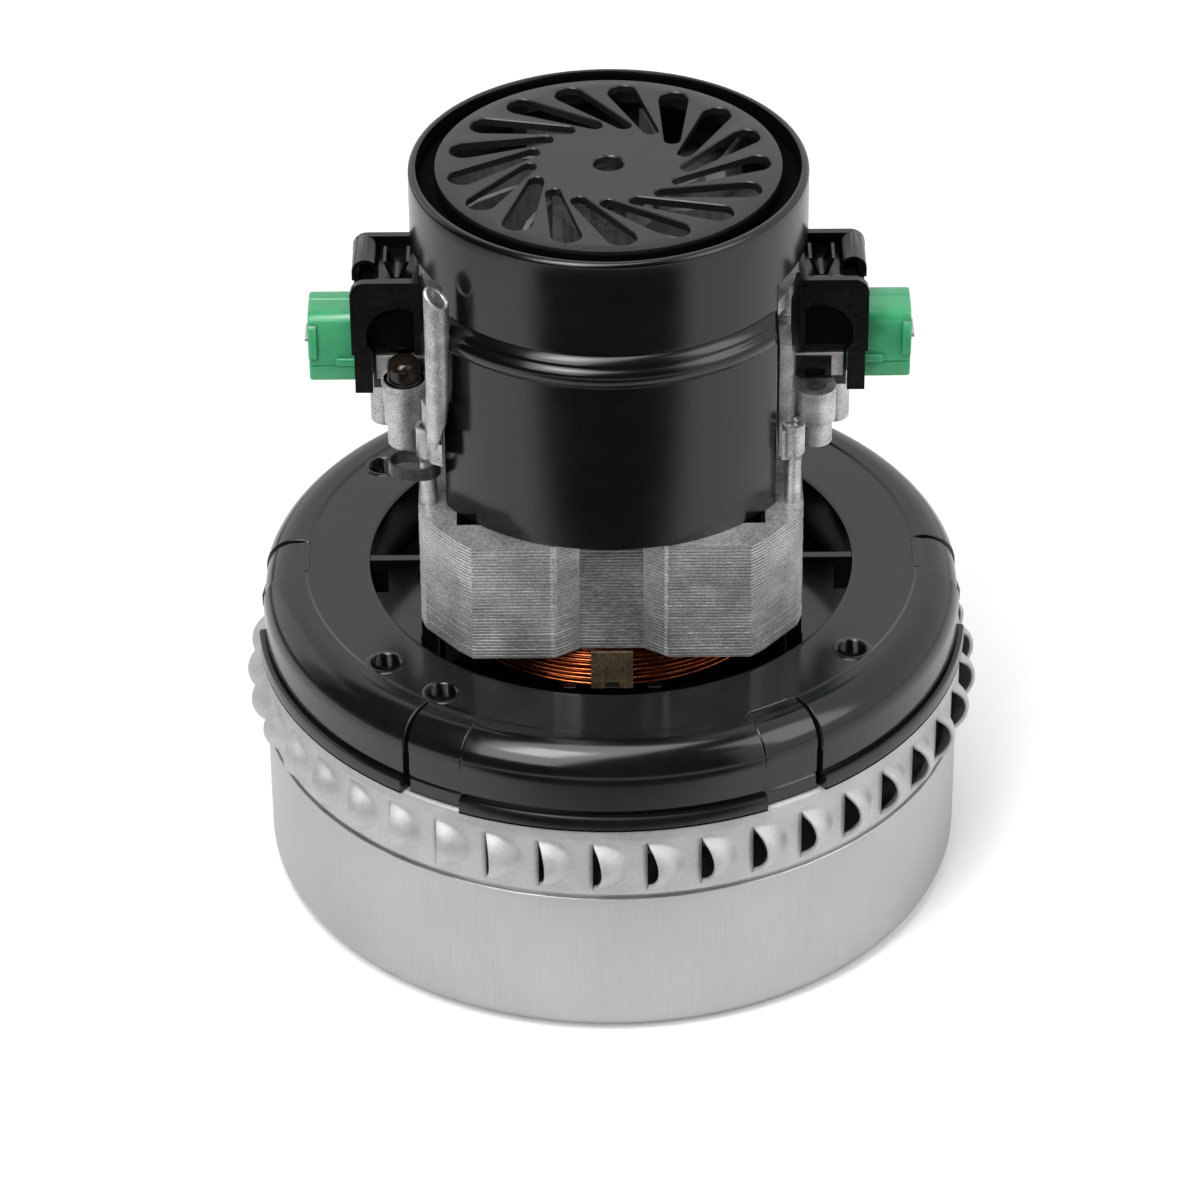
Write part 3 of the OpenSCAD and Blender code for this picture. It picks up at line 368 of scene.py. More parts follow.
def makeShell():
    # the profile goes up the outside and back down the inside, and the lip moves in and out with a ripple
    corner, wall, inlet, collar = (shell[key] for key in ("corner", "wall", "inlet", "collar"))
    outer, top = lipRadius - shell["lipOut"], shellHigh[2]
    inner, lipLow = outer - wall, top - shell["lipHeight"]
    profile = np.concatenate([
            [[inlet + 1.5, 0.0]], arc(outer - corner, corner, corner, -90, 0, 12),
            [[outer, lipLow - 0.2], [outer + 0.15, lipLow], [lipRadius - 0.1, lipLow + 0.05],
            [lipRadius, lipLow + 0.18], [lipRadius, top - 0.15], [lipRadius - 0.12, top], [inner, top]],
            arc(outer - corner, corner, corner - wall, 0, -90, 10),
            [[inlet + 1.9, 0.9], [inlet + 0.9, 1.7], [inlet + 0.9, collar], [inlet, collar], [inlet, 1.5],
            [inlet + 0.4, 0.5]]])
    degrees = np.arange(shell["turns"]) * 360 / shell["turns"]
    profiles = np.repeat(profile[None], len(degrees), 0)
    lip = (profile[:, 0] > outer + 0.3)[None, :]
    below = profile[:, 1] < top - 0.3
    profiles[..., 0] += lip * shell["lipRipple"] * ripple(degrees, 3, 20, 120)[:, None]
    profiles[..., 1] += lip * shell["lipRipple"] * ripple(degrees, 4, 20, 160)[:, None] * below
    makePiece("fan_shell_pan", [revolve(profiles, degrees)], "shell_aluminium", ["fan_shell"])


makeShell()
print("fan shell made")

# Discharge ring: pressed louvres, each open at its lower angle
ring = {"louvres": 42, "firstAngle": -119.0, "ball": 6.0, "out": 3.3, "length": 6.9, "soft": 0.22,
    "wall": 0.8, "centre": 7.3, "lean": 0.55}


def makeRing():
    # height over the wall = soft maximum of sqrt(R^2 - h^2 - (k a)^2) - (R - out) and zero, a along the wall
    count, length, sunk = ring["louvres"], ring["length"], ring["ball"] - ring["out"]
    pitch = 2 * np.pi * ringRadius / count
    along = np.concatenate([np.linspace(0, 1, 7)[:-1] ** 1.5 * 2.0, np.linspace(2.0, length + 1.2, 13),
            [pitch - 1.2, pitch]])
    low, top = ringLow[2], ringHigh[2]
    profile = np.concatenate([
            [[lipRadius - 2.5, low]], arc(ringRadius - 0.8, low + 0.8, 0.8, -90, 0, 5),
            np.stack([np.full(34, ringRadius), np.linspace(low + 1.2, top - 2.4, 34)], -1),
            [[ringRadius - 0.12, top - 2.1], [ringRadius - 0.15, top - 1.2]],
            arc(ringRadius - 1.0, top - 0.9, 0.85, 15, 90, 5), [[lipRadius - 4.5, top - 0.05]]])
    radius, height = profile[:, 0], profile[:, 1]
    half = math.sqrt(ring["ball"] ** 2 - sunk ** 2)
    h = (height - low - ring["centre"])[None, :]
    a = (along * half / length)[:, None]
    over = np.sqrt(np.maximum(ring["ball"] ** 2 - h ** 2 - a ** 2, 0.0)) - sunk
    soft = ring["soft"] * (1 + 2.2 * along / length)[:, None]
    rise = soft * np.log1p(np.exp(np.clip(over / soft, -30, 30)))
    rise *= smoothStep(half + 0.7 - np.abs(h), 0.0, 0.7) * smoothStep(pitch - 0.4 - along, 0.0, 1.2)[:, None]
    rise *= (np.abs(radius - ringRadius) < 0.01)[None, :]
    angle = ring["firstAngle"] + np.arange(count)[:, None] * 360 / count
    # the open end leans back from the wall by lean * height
    back = ring["lean"] * rise * np.clip(1 - along / length, 0, 1)[:, None]
    turn = np.radians(angle)[..., None] + ((along[:, None] + back) / ringRadius)[None]
    r = radius + rise[None] + 0 * turn
    points = np.stack([r * np.cos(turn), r * np.sin(turn), height + 0 * r], -1)
    starts = np.arange(count) * len(along) * len(profile)
    faces = (gridFaces(len(along), len(profile))[None] + starts[:, None, None]).reshape(-1, 4)
    piece = makePiece("discharge_ring_pressing", [(points, faces)], "ring_aluminium", ["discharge_ring"],
        sharp=50)
    wall = piece.modifiers.new("wall", "SOLIDIFY")
    wall.thickness = ring["wall"] * mm
    wall.offset = -1


makeRing()
print("discharge ring made")

# Motor bracket: the wall with its shoulder and key sections is a new surface, the rest is rounded CAD
bracket = {"wallRadius": 71.5, "shoulder": 6.9, "opening": 49.3, "crease": 62.5, "flange": 3.2, "sunk": 0.35,
    "keys": 6, "keyDegrees": 10.5, "keyDepth": 0.45, "keyInward": 0.7, "keyCorner": 1.6,
    "slitTop": 0.35, "slitFoot": 1.1, "slitDepth": 1.8, "line": 0.22, "lineWidth": 0.13,
    "holeRadius": 2.9, "rimWidth": 0.9, "fixingRadius": 58.9, "fixings": [-139.9, -124.8, -35.7, 144.3]}


def bracketDegrees():
    # evenly spaced angles, closer together near the ends of each key section
    marks = [np.arange(0, 360, 0.75)]
    near = np.concatenate([np.arange(-0.4, 1.5, 0.1), [1.7, 1.9, 2.2]])
    for key in range(bracket["keys"]):
        for end in (-1, 1):
            middle = key * 360 / bracket["keys"] + end * bracket["keyDegrees"] / 2
            marks.append(middle - end * near)
    return np.unique(np.round(np.concatenate(marks) % 360, 3))


def bracketWall():
    # a revolved profile whose radius drops by the key's depth inside each key section
    top, low, wall = plateTop, ringHigh[2], bracket["wallRadius"]
    opening, crease, corner = bracket["opening"], bracket["crease"], bracket["keyCorner"]
    shoulderR, shoulderZ = wall - bracket["shoulder"], top - bracket["shoulder"]
    flangeTop, plate = low + bracket["flange"], top - bracket["sunk"]
    profile = np.concatenate([
            [[opening + 2, low], [wall - 2, low], [flangeRadius - 0.4, low], [flangeRadius, low + 0.4],
            [flangeRadius, flangeTop - 0.5], [flangeRadius - 0.15, flangeTop - 0.15],
            [flangeRadius - 0.5, flangeTop], [wall + 0.3, flangeTop], [wall - 0.45, flangeTop - 0.05],
            [wall - 0.45, flangeTop + 0.5], [wall - 0.1, flangeTop + 0.6], [wall, flangeTop + 0.75]],
            np.stack([np.full(6, wall), np.linspace(flangeTop + 1, shoulderZ - 0.3, 6)], -1),
            arc(shoulderR, shoulderZ, bracket["shoulder"], 0, 90, 30),
            np.stack([np.linspace(shoulderR - 0.3, crease + 0.5, 6), np.full(6, top)], -1),
            [[crease + 0.25, top - 0.04], [crease + 0.05, top - 0.16], [crease - 0.15, top - 0.3],
            [crease - 0.35, plate]],
            np.stack([np.linspace(crease - 0.5, crease - 1.5, 7), np.full(7, plate)], -1),
            np.stack([np.linspace(crease - 2, opening + 1.2, 12), np.full(12, plate)], -1),
            [[opening + 0.5, top - 0.36], [opening + 0.15, top - 0.5], [opening, top - 0.9],
            [opening, low + 3.4], [opening + 2, low + 3]]])
    degrees = bracketDegrees()
    half, apart = bracket["keyDegrees"] / 2, 360 / bracket["keys"]
    offset = (degrees + apart / 2) % apart - apart / 2
    r, z = profile[:, 0][None, :], profile[:, 1][None, :]
    # distance outwards along the profile from the key's inner end, and across from its middle
    steps = np.linalg.norm(np.diff(profile, axis=0), axis=1)
    travelled = np.concatenate([[0], np.cumsum(steps)])
    creaseAt = travelled[np.argmin(np.abs(profile[:, 0] - crease) + 9 * (profile[:, 1] < top - 1))]
    outward = (creaseAt - travelled + bracket["keyInward"])[None, :]
    across = np.abs(np.radians(offset))[:, None] * r
    halfWidth = math.radians(half) * r
    q = np.stack([across - halfWidth + corner, corner - outward + 0 * across], -1)
    edge = corner - np.linalg.norm(np.maximum(q, 0), axis=-1)
    edge = np.where(outward > corner, halfWidth - across, edge)
    inKey = smoothStep(edge, -0.06, 0.12)
    line = bracket["line"] * np.exp(-(edge / bracket["lineWidth"]) ** 2) * (outward < 14)
    # a slit parts one edge of each key from the wall, and it widens towards the foot
    keyAt = np.round(degrees / apart) * apart
    sideSign = np.where(np.cos(np.radians(keyAt)) > 0, 1, -1)[:, None]
    fromEdge = halfWidth - sideSign * np.radians(offset)[:, None] * r
    width = bracket["slitTop"] + (bracket["slitFoot"] - bracket["slitTop"]) * smoothStep(outward, 2, 18)
    slit = smoothStep(fromEdge, -0.05, 0.1) * smoothStep(width - fromEdge, -0.05, 0.1) * (outward > 1.2)
    # the surface is set back square to itself: down on the shoulder's top, inwards on the wall
    depth = inKey * bracket["keyDepth"] * smoothStep(outward, 0, 3) + line
    depth = np.maximum(depth, slit * bracket["slitDepth"])
    lean = np.clip((r - shoulderR) / bracket["shoulder"], 0, 1)
    rise = np.sqrt(1 - lean ** 2)
    depth = depth * ((z > flangeTop - 0.1) & (travelled[None, :] < creaseAt + 2.5))
    newR, newZ = r - depth * lean, z - depth * rise
    # the flange stops at each key section
    foot = (z <= flangeTop + 0.01) & (z > low - 0.01) & (r > wall - 1.9)
    inward = (np.minimum(r, wall - bracket["keyDepth"]) - r) * inKey - slit * bracket["slitDepth"]
    return np.stack([np.where(foot, r + inward, newR), newZ], -1), degrees


def makeBracket():
    profiles, degrees = bracketWall()
    piece = makePiece("fan_bracket_wall", [revolve(profiles, degrees)], "bracket_plastic", ["fan_bracket"],
        sharp=40)
    # holes are cut through the plate and each gets a raised ring
    hole, around = bracket["holeRadius"], np.arange(48) * 7.5
    low, top, outer = ringHigh[2] - 1, plateTop - bracket["sunk"], hole + bracket["rimWidth"]
    pin = [[0, low], [hole, low], [hole, top + 2], [0, top + 2]]
    rim = [[hole, top - 3], [outer + 0.4, top - 3], [outer + 0.2, top - 0.02], [outer, top + 0.12],
        [outer - 0.25, top + 0.2], [hole + 0.2, top + 0.2], [hole, top + 0.05]]
    cutters, rims = [], []
    for angle in bracket["fixings"]:
        turn = math.radians(angle)
        place = bracket["fixingRadius"] * np.array([math.cos(turn), math.sin(turn), 0])
        for kind, profile in ((cutters, pin), (rims, rim)):
            points, faces = revolve(profile, around)
            kind.append((points + place, faces))
    cutter = makePiece("hole_cutters", cutters, "bracket_plastic")
    cut = piece.modifiers.new("holes", "BOOLEAN")
    cut.operation = "DIFFERENCE"
    cut.object = cutter
    cut.solver = "EXACT"
    applyModifiers(piece)
    bpy.data.objects.remove(cutter)
    makePiece("fan_bracket_hole_rims", rims, "bracket_plastic", ["fan_bracket"])

    # what stands inside the opening comes from the node: floor, hub, pillars, fins, bars and gussets
    def isOutside(centre, normal):
        return math.hypot(*centre[:2]) > bracket["opening"] - 0.05 and centre[2] > ringHigh[2] + 0.1

    mesh = dropFaces(copyNode("fan_bracket"), isOutside, True)
    addBevel(linkPiece("fan_bracket_well", mesh, "bracket_plastic", ["fan_bracket"]), 0.25)


makeBracket()
print("motor bracket made")

# Stator: the laminations' edges are a new surface on the stack's outline
stator = {"layers": 36, "groove": 0.45, "uneven": 0.05, "spacing": 0.8, "flat": [0.24, 0.76]}


def statorOutline():
    # the quarter outline of the node, mirrored to all four quarters, counter-clockwise
    x, y = statorHigh[0], statorHigh[1]
    quarter = np.array([[x, y - 14.5], [x - 1, y - 11], [x - 8, y - 2.4], [x - 10.7, y], [11.3, y],
            [10.4, y - 0.35], [6.3, y - 3.3]])
    left = quarter[::-1] * [-1, 1]
    return np.concatenate([quarter, left, -quarter, -left])


def makeStator():
    # each layer has a groove row, a lower edge and an upper edge, moved by a small random offset
    outline, layers = statorOutline(), stator["layers"]
    rng = np.random.default_rng(11)
    pieces = []
    for start, end in zip(outline, np.roll(outline, -1, 0)):
        count = max(2, int(np.linalg.norm(end - start) / stator["spacing"]))
        pieces.append(start + (end - start) * np.linspace(0, 1, count, endpoint=False)[:, None])
    path = np.concatenate(pieces)
    ahead = np.roll(path, -1, 0) - np.roll(path, 1, 0)
    out = np.stack([ahead[:, 1], -ahead[:, 0]], -1) / np.linalg.norm(ahead, axis=1)[:, None]
    height = statorHigh[2] - statorLow[2]
    step = height / layers
    levels = (np.arange(layers)[:, None] * step + np.array([0.0, *stator["flat"]]) * step).ravel()
    levels = np.append(levels, height)
    depth = np.append(np.tile([-stator["groove"], 0.0, 0.0], layers), -stator["groove"])
    layer = np.minimum((levels / step + 0.05).astype(int), layers - 1)
    shift = rng.uniform(-1, 1, (layers, len(path))) * 0.3 + rng.uniform(-1, 1, (layers, 1))
    smooth = (shift + np.roll(shift, 1, 1) + np.roll(shift, -1, 1)) / 3
    inward = depth[:, None] - stator["uneven"] * (1 + smooth[layer])
    points = np.zeros((len(levels), len(path), 3))
    points[..., :2] = path[None] + out[None] * inward[..., None]
    points[..., 2] = statorLow[2] + levels[:, None]
    faces = gridFaces(len(levels), len(path), False, True)[:, ::-1]
    middle = path[faces[:, 0] % len(path)]
    side, reach = np.abs(middle[:, 0]), np.abs(middle[:, 1])
    inRecess = (side < outline[5, 0] + 0.1) & (reach > outline[6, 1] - 1)
    onEdge = (side > outline[5, 0] + 0.1) & (side < outline[4, 0] + 0.1) & (reach > outline[5, 1] - 0.2)
    # the rest is the node without its outer faces
    far = np.stack([outline, np.roll(outline, -1, 0)], 1)

    def onOutline(centre, normal):
        if abs(normal[2]) > 0.5:
            return False
        along = far[:, 1] - far[:, 0]
        t = np.clip(((centre[:2] - far[:, 0]) * along).sum(1) / (along ** 2).sum(1), 0, 1)
        return np.linalg.norm(far[:, 0] + along * t[:, None] - centre[:2], axis=1).min() < 0.05

    mesh = dropFaces(copyNode("stator_core"), onOutline)
    linkPiece("stator_core_stack", mesh, "lamination_steel", ["stator_core"])
    # the faces at the recess's edges get the painted highlight and the faces in the recess the painted shade
    for kind, chosen, look in (("laminations", ~inRecess & ~onEdge, None),
            ("edges", onEdge, "lamination_painted_highlight"),
            ("recesses", inRecess, "lamination_painted_shade")):
        makePiece("stator_core_" + kind, [(points, faces[chosen])], "lamination_steel", ["stator_core"],
            sharp=30, look=look)


makeStator()
print("stator made")

# Field coils: every turn of wire is a rounded rectangle bent round the bore
coils = {"radial": 8, "axial": 7, "pitch": 1.08, "wire": 0.56, "firstRadius": 28.0, "firstEnd": 2.1,
    "legDegrees": 36.0, "legStep": 2.2, "corner": 2.5, "cornerStep": 0.5, "sides": 6, "jitter": 0.11}


def makeCoil(side, middle, seed):
    # a turn lies on a cylinder: x = r cos, y = r sin of the middle angle plus s / r, z = z, for points (s, z)
    rng = np.random.default_rng(seed)
    wire = arc(0, 0, coils["wire"] / 2, 0, 360, coils["sides"] + 1)[:-1]
    parts = []
    for i in range(coils["radial"]):
        for j in range(coils["axial"]):
            r = coils["firstRadius"] + coils["pitch"] * i + rng.uniform(-1, 1) * coils["jitter"]
            reach = coils["firstEnd"] + coils["pitch"] * j + rng.uniform(-1, 1) * coils["jitter"]
            half = math.radians(coils["legDegrees"] + coils["legStep"] * j) * r
            low, high = statorLow[2] - reach, statorHigh[2] + reach
            corner = coils["corner"] + coils["cornerStep"] * j
            s = half - corner
            turn = [arc(*centre, corner, first, first + 90, 6) for *centre, first in (
                    (s, high - corner, 0), (-s, high - corner, 90), (-s, low + corner, 180),
                    (s, low + corner, 270))]
            turn.insert(1, np.stack([np.linspace(s, -s, 20)[1:-1], np.full(18, high)], -1))
            turn.insert(4, np.stack([np.linspace(-s, s, 20)[1:-1], np.full(18, low)], -1))
            turn = np.concatenate(turn)
            wobble = coils["jitter"] * np.convolve(rng.uniform(-1, 1, len(turn)), np.ones(3) / 2, "same")
            angle = math.radians(middle) + turn[:, 0] / r
            radius = r + wobble
            path = np.stack([radius * np.cos(angle), radius * np.sin(angle), turn[:, 1] + wobble], -1)
            outward = np.stack([np.cos(angle), np.sin(angle), 0 * angle], -1)
            parts.append(carry(wire, path, outward))
    makePiece(side + "_field_coil_turns", parts, "winding_copper", [side + "_field_coil"], sharp=80)


makeCoil("front", -90, 5)
makeCoil("rear", 90, 6)
print("field coils made")

# Motor cover: wall with its shoulder band, skirts in front and back, and the grille with chamfered slots
cover = {"radius": 39.2, "wall": 1.6, "rim": 1.0, "skirtOut": 1.0, "cut": 144.7, "skirtHalf": 32.6,
    "disc": 34.0, "discWall": 1.8, "groove": 4.1, "slots": 17, "hole": 3.0, "chamfer": 0.22,
    "bandTop": 139.0, "bandLow": 132.4, "fade": 0.02}


def bandProfile():
    # (how far out, how far down) from the band's upper crease: two faces at about 45 degrees and a line
    first = arc(-1.6, -2.95, 3.35, 62, 27, 8)
    second = arc(0.55, -3.75, 2.05, 58, -8, 9)
    under = np.array([[2.45, -4.9], [2.0, -5.7], [1.3, -6.3], [1.02, -6.6]])
    return np.concatenate([first, [[first[-1, 0] + 0.02, first[-1, 1] - 0.15]], second, under])


def flipped(surface):
    points, faces = surface
    return points, faces[:, ::-1]


def makeCoverWall():
    # the wall's profile is carried round; below the cut it stops where x passes the skirts' edges
    radius, top, cut, inner = cover["radius"], coverHigh[2], cover["cut"], cover["radius"] - cover["wall"]
    skirt, foot = radius + cover["skirtOut"], statorHigh[2]
    bandTop, bandLow = cover["bandTop"], cover["bandLow"]
    upper = np.concatenate([
            [[inner, cut], [inner, top - 0.4], [inner + 0.15, top - 0.1], [inner + 0.45, top]],
            arc(radius - cover["rim"], top - cover["rim"], cover["rim"], 90, 0, 8),
            [[radius, top - 3], [radius, top - 7], [radius, top - 11], [radius, cut]]])
    degrees = np.arange(360) * 1.0
    ledge = np.array([[radius, cut], [inner, cut]])
    parts = [flipped(revolve(upper, degrees, False)), flipped(revolve(ledge, degrees, False))]
    band = bandProfile()
    plain = np.interp(band[:, 1], [-6.6, 0.0], [cover["skirtOut"], 0.0])
    lower = np.concatenate([
            [[radius, cut + 0.02], [radius, bandTop + 0.8], [radius, bandTop + 0.1]],
            band + [radius, bandTop],
            [[skirt, bandLow - 0.4], [skirt, foot + 0.3], [skirt - 0.3, foot + 0.05],
            [inner + 1.0, foot + 0.05],
            [inner + 0.8, foot + 0.4], [inner + 0.8, bandLow], [inner, bandTop], [inner, cut + 0.02]]])
    across = np.concatenate([np.linspace(-1, -0.9, 9)[:-1], np.linspace(-0.9, 0.9, 61),
            np.linspace(0.9, 1, 9)[1:]])
    excess = np.zeros(len(lower))
    excess[3:3 + len(band)] = band[:, 0] - plain
    fade = 1 - smoothStep(1 - np.abs(across), 0.01, cover["fade"])
    for middle in (-90, 90):
        reach = np.arcsin(cover["skirtHalf"] / lower[:, 0])
        turn = math.radians(middle) + across[:, None] * reach[None, :]
        r = lower[:, 0] - excess * fade[:, None]
        points = np.stack([r * np.cos(turn), r * np.sin(turn), lower[:, 1] + 0 * turn], -1)
        parts.append((points, gridFaces(len(across), len(lower), False, True)[:, ::-1]))
        parts.append((points[0, ::-1], [list(range(len(lower)))]))
        parts.append((points[-1], [list(range(len(lower)))]))
    makePiece("motor_cover_wall", parts, "cover_plastic", ["motor_cover"], sharp=38)


def dropOutline(c1, r1, c2, r2, grow=0.0):
    # two circles and the lines that touch both
    c1, c2 = np.array(c1, float), np.array(c2, float)
    r1, r2 = r1 + grow, r2 + grow
    away = math.degrees(math.atan2(*(c2 - c1)[::-1]))
    tangent = math.degrees(math.acos((r1 - r2) / np.linalg.norm(c2 - c1)))
    return np.concatenate([arc(*c1, r1, away + tangent, away + 360 - tangent, 9),
            arc(*c2, r2, away - tangent, away + tangent, 15)])


def turned(outline, degrees):
    c, s = math.cos(math.radians(degrees)), math.sin(math.radians(degrees))
    return outline @ np.array([[c, s], [-s, c]])


def makeGrille():
    # a flat face with holes, and for each hole a wall of rows: face, chamfer, wall, underside
    top, thick, chamfer, hole = coverHigh[2], cover["discWall"], cover["chamfer"], cover["hole"]
    outer, inner, deep = cover["disc"], cover["radius"] - cover["wall"], coverHigh[2] - cover["groove"]
    around = np.arange(240) * 1.5
    rim = (outer - 0.3) * np.stack([np.cos(np.radians(around)), np.sin(np.radians(around))], -1)
    slot = [dropOutline([12.6, 9.2], 1.6, [13.1, 25.6], 3, grow) for grow in (chamfer, 0.0)]
    places = [k * 360 / cover["slots"] for k in range(cover["slots"])]
    loops = [rim] + [turned(slot[0], place)[::-1] for place in places]
    loops.append(arc(0, 0, hole + 0.3, 0, 360, 41)[:-1][::-1])
    triangles = np.array(tessellate_polygon([[Vector((p[0], p[1], 0)) for p in loop] for loop in loops]))
    plane = np.concatenate(loops)
    plane = np.column_stack([plane, np.full(len(plane), top)])
    a, b, c = plane[triangles[:, 0]], plane[triangles[:, 1]], plane[triangles[:, 2]]
    flip = np.cross(b - a, c - a)[:, 2] < 0
    triangles[flip] = triangles[flip][:, ::-1]
    under = plane.copy()
    under[:, 2] = top - thick
    parts = [(plane, triangles), (under, triangles[:, ::-1])]
    for place in places:
        big, small = turned(slot[0], place), turned(slot[1], place)
        rows = [(big, top), (small * 0.5 + big * 0.5, top - chamfer * 0.35), (small, top - chamfer),
            (small, top - thick + 0.2), (big, top - thick)]
        points = np.stack([np.column_stack([row, np.full(len(row), z)]) for row, z in rows])
        parts.append((points, gridFaces(len(rows), len(big), False, True)))
    hub = [[hole + 0.3, top], [hole, top - 0.3], [hole, top - thick + 0.2], [hole + 0.3, top - thick]]
    parts.append(revolve(hub, np.arange(40) * 9.0, False))
    rimSide = [[outer - 0.3, top], [outer - 0.08, top - 0.1], [outer, top - 0.35], [outer, top - 0.9]]
    parts.append(flipped(revolve(rimSide, around, False)))
    ditch = [[outer, top - 0.9], [outer, deep], [inner - 0.02, deep], [inner - 0.02, top - 0.9]]
    # the groove round the grille gets painted shade: matte black with almost no reflection
    makePiece("motor_cover_groove", [flipped(revolve(ditch, around, False))], "cover_plastic",
        ["motor_cover"], sharp=28, look="painted_shade_recess")
    low = [[outer - 0.3, top - thick], [outer - 1.4, top - thick], [outer - 1.4, deep - 0.3],
        [inner, deep - 0.3]]
    parts.append(revolve(low, around, False))
    makePiece("motor_cover_grille", parts, "cover_plastic", ["motor_cover"], sharp=28, look="grille_plastic")


makeCoverWall()
makeGrille()
print("motor cover made")


def cornerRing(x, corners):
    # a closed ring at x from pieces of its outline in y and z
    ring = np.concatenate(corners)
    return np.column_stack([np.full(len(ring), x), ring])


def boxRing(x, halfY, low, high, radius):
    y = halfY - radius
    return cornerRing(x, [arc(y, low + radius, radius, -90, 0, 5), arc(y, high - radius, radius, 0, 90, 5),
            arc(-y, high - radius, radius, 90, 180, 5), arc(-y, low + radius, radius, 180, 270, 5)])


def loft(rings, closeStart=True):
    # rings of equal length are joined in order, and the ends get one face each
    points = np.stack(rings)
    count = points.shape[1]
    faces = gridFaces(len(rings), count, False, True).tolist()
    if closeStart:
        faces.append(list(range(count)))
    faces.append(list(range((len(rings) - 1) * count, len(rings) * count))[::-1])
    return points.reshape(-1, 3), faces


# Cast bracket: new columns cut off at a slant, a new left boss, and thin walls and strips at the saddles
columns = {"axis": (-33.42, -27.45), "outer": 2.45, "inner": 1.6, "low": 112.6, "tip": 147.2, "drop": 3.2,
    "tipDegrees": 150.0, "depth": 26.0, "slant": 9.0}
boss = {"place": (-40.8, -9.2, 0), "low": 6.0, "top": 21.0}
# each box: y and z of its lower and upper corners, then where x starts and ends
saddle = {
    "walls": [([-6.7, 114.5], [-6.0, 119.8], 35.7, 46.3)],
    "strips": [([-7.0, 114.6], [-6.7, 119.2], 35.7, 44.0), ([-5.98, 112.0], [-5.78, 124.0], 35.5, 47.0),
        ([-7.4, 120.5], [-5.9, 138.0], 35.6, 38.6)],
    "corner": 0.09}


def saddleBox(sign, low, high, start, end):
    half = [(end - start) / 2, 0, 0]
    ring = boxRing(0.0, (high[0] - low[0]) / 2, low[1], high[1], saddle["corner"])
    middle = np.array([sign * (start + end) / 2, (low[0] + high[0]) / 2, 0.0])
    points, faces = loft([ring + middle - half, ring + middle + half])
    return points, [face[::-1] for face in faces]


def makeCast():
    # the top of a column falls from its tip by drop * (1 - cos(a - tip)) / 2 at the angle a round its axis
    def inColumn(centre, normal):
        x, y, z = centre
        sign = 1 if y < 0 else -1
        away = math.hypot(x * sign - columns["axis"][0], y * sign - columns["axis"][1])
        return away < columns["outer"] + 0.05 and z > columns["low"] - (3.0 if abs(normal[2]) > 0.9 else 0.0)

    mesh = dropFaces(copyNode("commutator_bracket", True), inColumn)
    addBevel(linkPiece("commutator_bracket_rounded", mesh, "cast_aluminium", ["commutator_bracket"]), 0.3)
    degrees = np.arange(48) * 7.5
    top = columns["tip"] - columns["drop"] * (1 - np.cos(np.radians(degrees - columns["tipDegrees"]))) / 2
    outer, inner, low = columns["outer"], columns["inner"], columns["low"] - 0.6
    rows = [(outer, low + 0 * top)]
    rows += [(outer, low + (top - 0.35 - low) * share) for share in (0.2, 0.4, 0.6, 0.8, 1.0)]
    rows += [(outer - 0.1, top - 0.1), (outer - 0.3, top), (inner + 0.2, top - 0.02), (inner, top - 0.25),
        (inner, top - columns["depth"]), (0.01, top - columns["depth"])]
    profiles = np.stack([np.stack([np.full(len(degrees), r), z], -1) for r, z in rows], 1)
    points, faces = revolve(profiles, degrees, False)
    # below, the side next to the skirt is cut back along a slanted plane
    slant = columns["slant"]
    cut = outer * (1 - 1.3 * np.clip((low + slant - points[..., 2]) / slant, 0, 1))
    points[..., 0] = np.minimum(points[..., 0], cut)
    front = points + [*columns["axis"], 0]
    makePiece("commutator_bracket_columns", [(front, faces), (front * [-1, -1, 1], faces)], "cast_aluminium",
        ["commutator_bracket"], sharp=35)
    low, top = statorHigh[2] + boss["low"], statorHigh[2] + boss["top"]
    profile = [[2.4, low], [3.3, low], [3.55, low + 0.3], [3.7, low + 5], [3.95, low + 5.5], [4.1, low + 9.5],
        [4.35, low + 10.1], [4.45, top - 0.35], [4.35, top - 0.08], [4.15, top], [3.4, top]]
    points, faces = revolve(profile, degrees, False)
    walls, strips = ([saddleBox(sign, *box) for sign in (-1, 1) for box in saddle[kind]]
        for kind in ("walls", "strips"))
    makePiece("commutator_bracket_saddle_walls", [(points + boss["place"], faces)] + walls, "cast_aluminium",
        ["commutator_bracket"], sharp=35)
    makePiece("brush_guard_strips", strips, "guard_plastic", both("brush_guard"), sharp=35)


makeCast()
print("cast bracket made")


# Brush insulators: a hollow body with a soft upper edge and a parting groove, its flange, a rib and two tabs
insulator = {"half": 5.75, "height": 13.5, "from": 24.0, "topRadius": 2.6, "lowRadius": 0.7, "grooveAt": 2.35,
    "groove": 0.3, "seamAt": 0.9, "bore": (4.1, 5.9), "boreEnd": 57.2, "flangeOut": 0.8,
    "flange": 1.8, "taller": 1.2, "step": 48.0}


def insulatorRing(x, inset, taller=0.0):
    # a rounded rectangle in y and z, moved in by the inset, with side grooves and a seam on top
    half, low = insulator["half"] - inset, insulatorLow + inset - taller
    top = insulatorLow + insulator["height"] - inset + 0.3 * taller
    r, q = insulator["topRadius"] - inset * 0.5, insulator["lowRadius"]
    z, depth, seamY = insulatorLow + insulator["grooveAt"], insulator["groove"], insulator["seamAt"]
    side = np.array([[half, z - 0.25], [half - depth, z - 0.12], [half - depth, z + 0.12], [half, z + 0.25]])
    seam = [[seamY + 0.2, top], [seamY, top - 0.2], [seamY - 0.2, top]]
    return cornerRing(x,
        [arc(half - q, low + q, q, -90, 0, 5), side, arc(half - r, top - r, r, 0, 90, 9), seam,
            arc(r - half, top - r, r, 90, 180, 9), (side * [-1, 1])[::-1],
            arc(q - half, low + q, q, 180, 270, 5)])


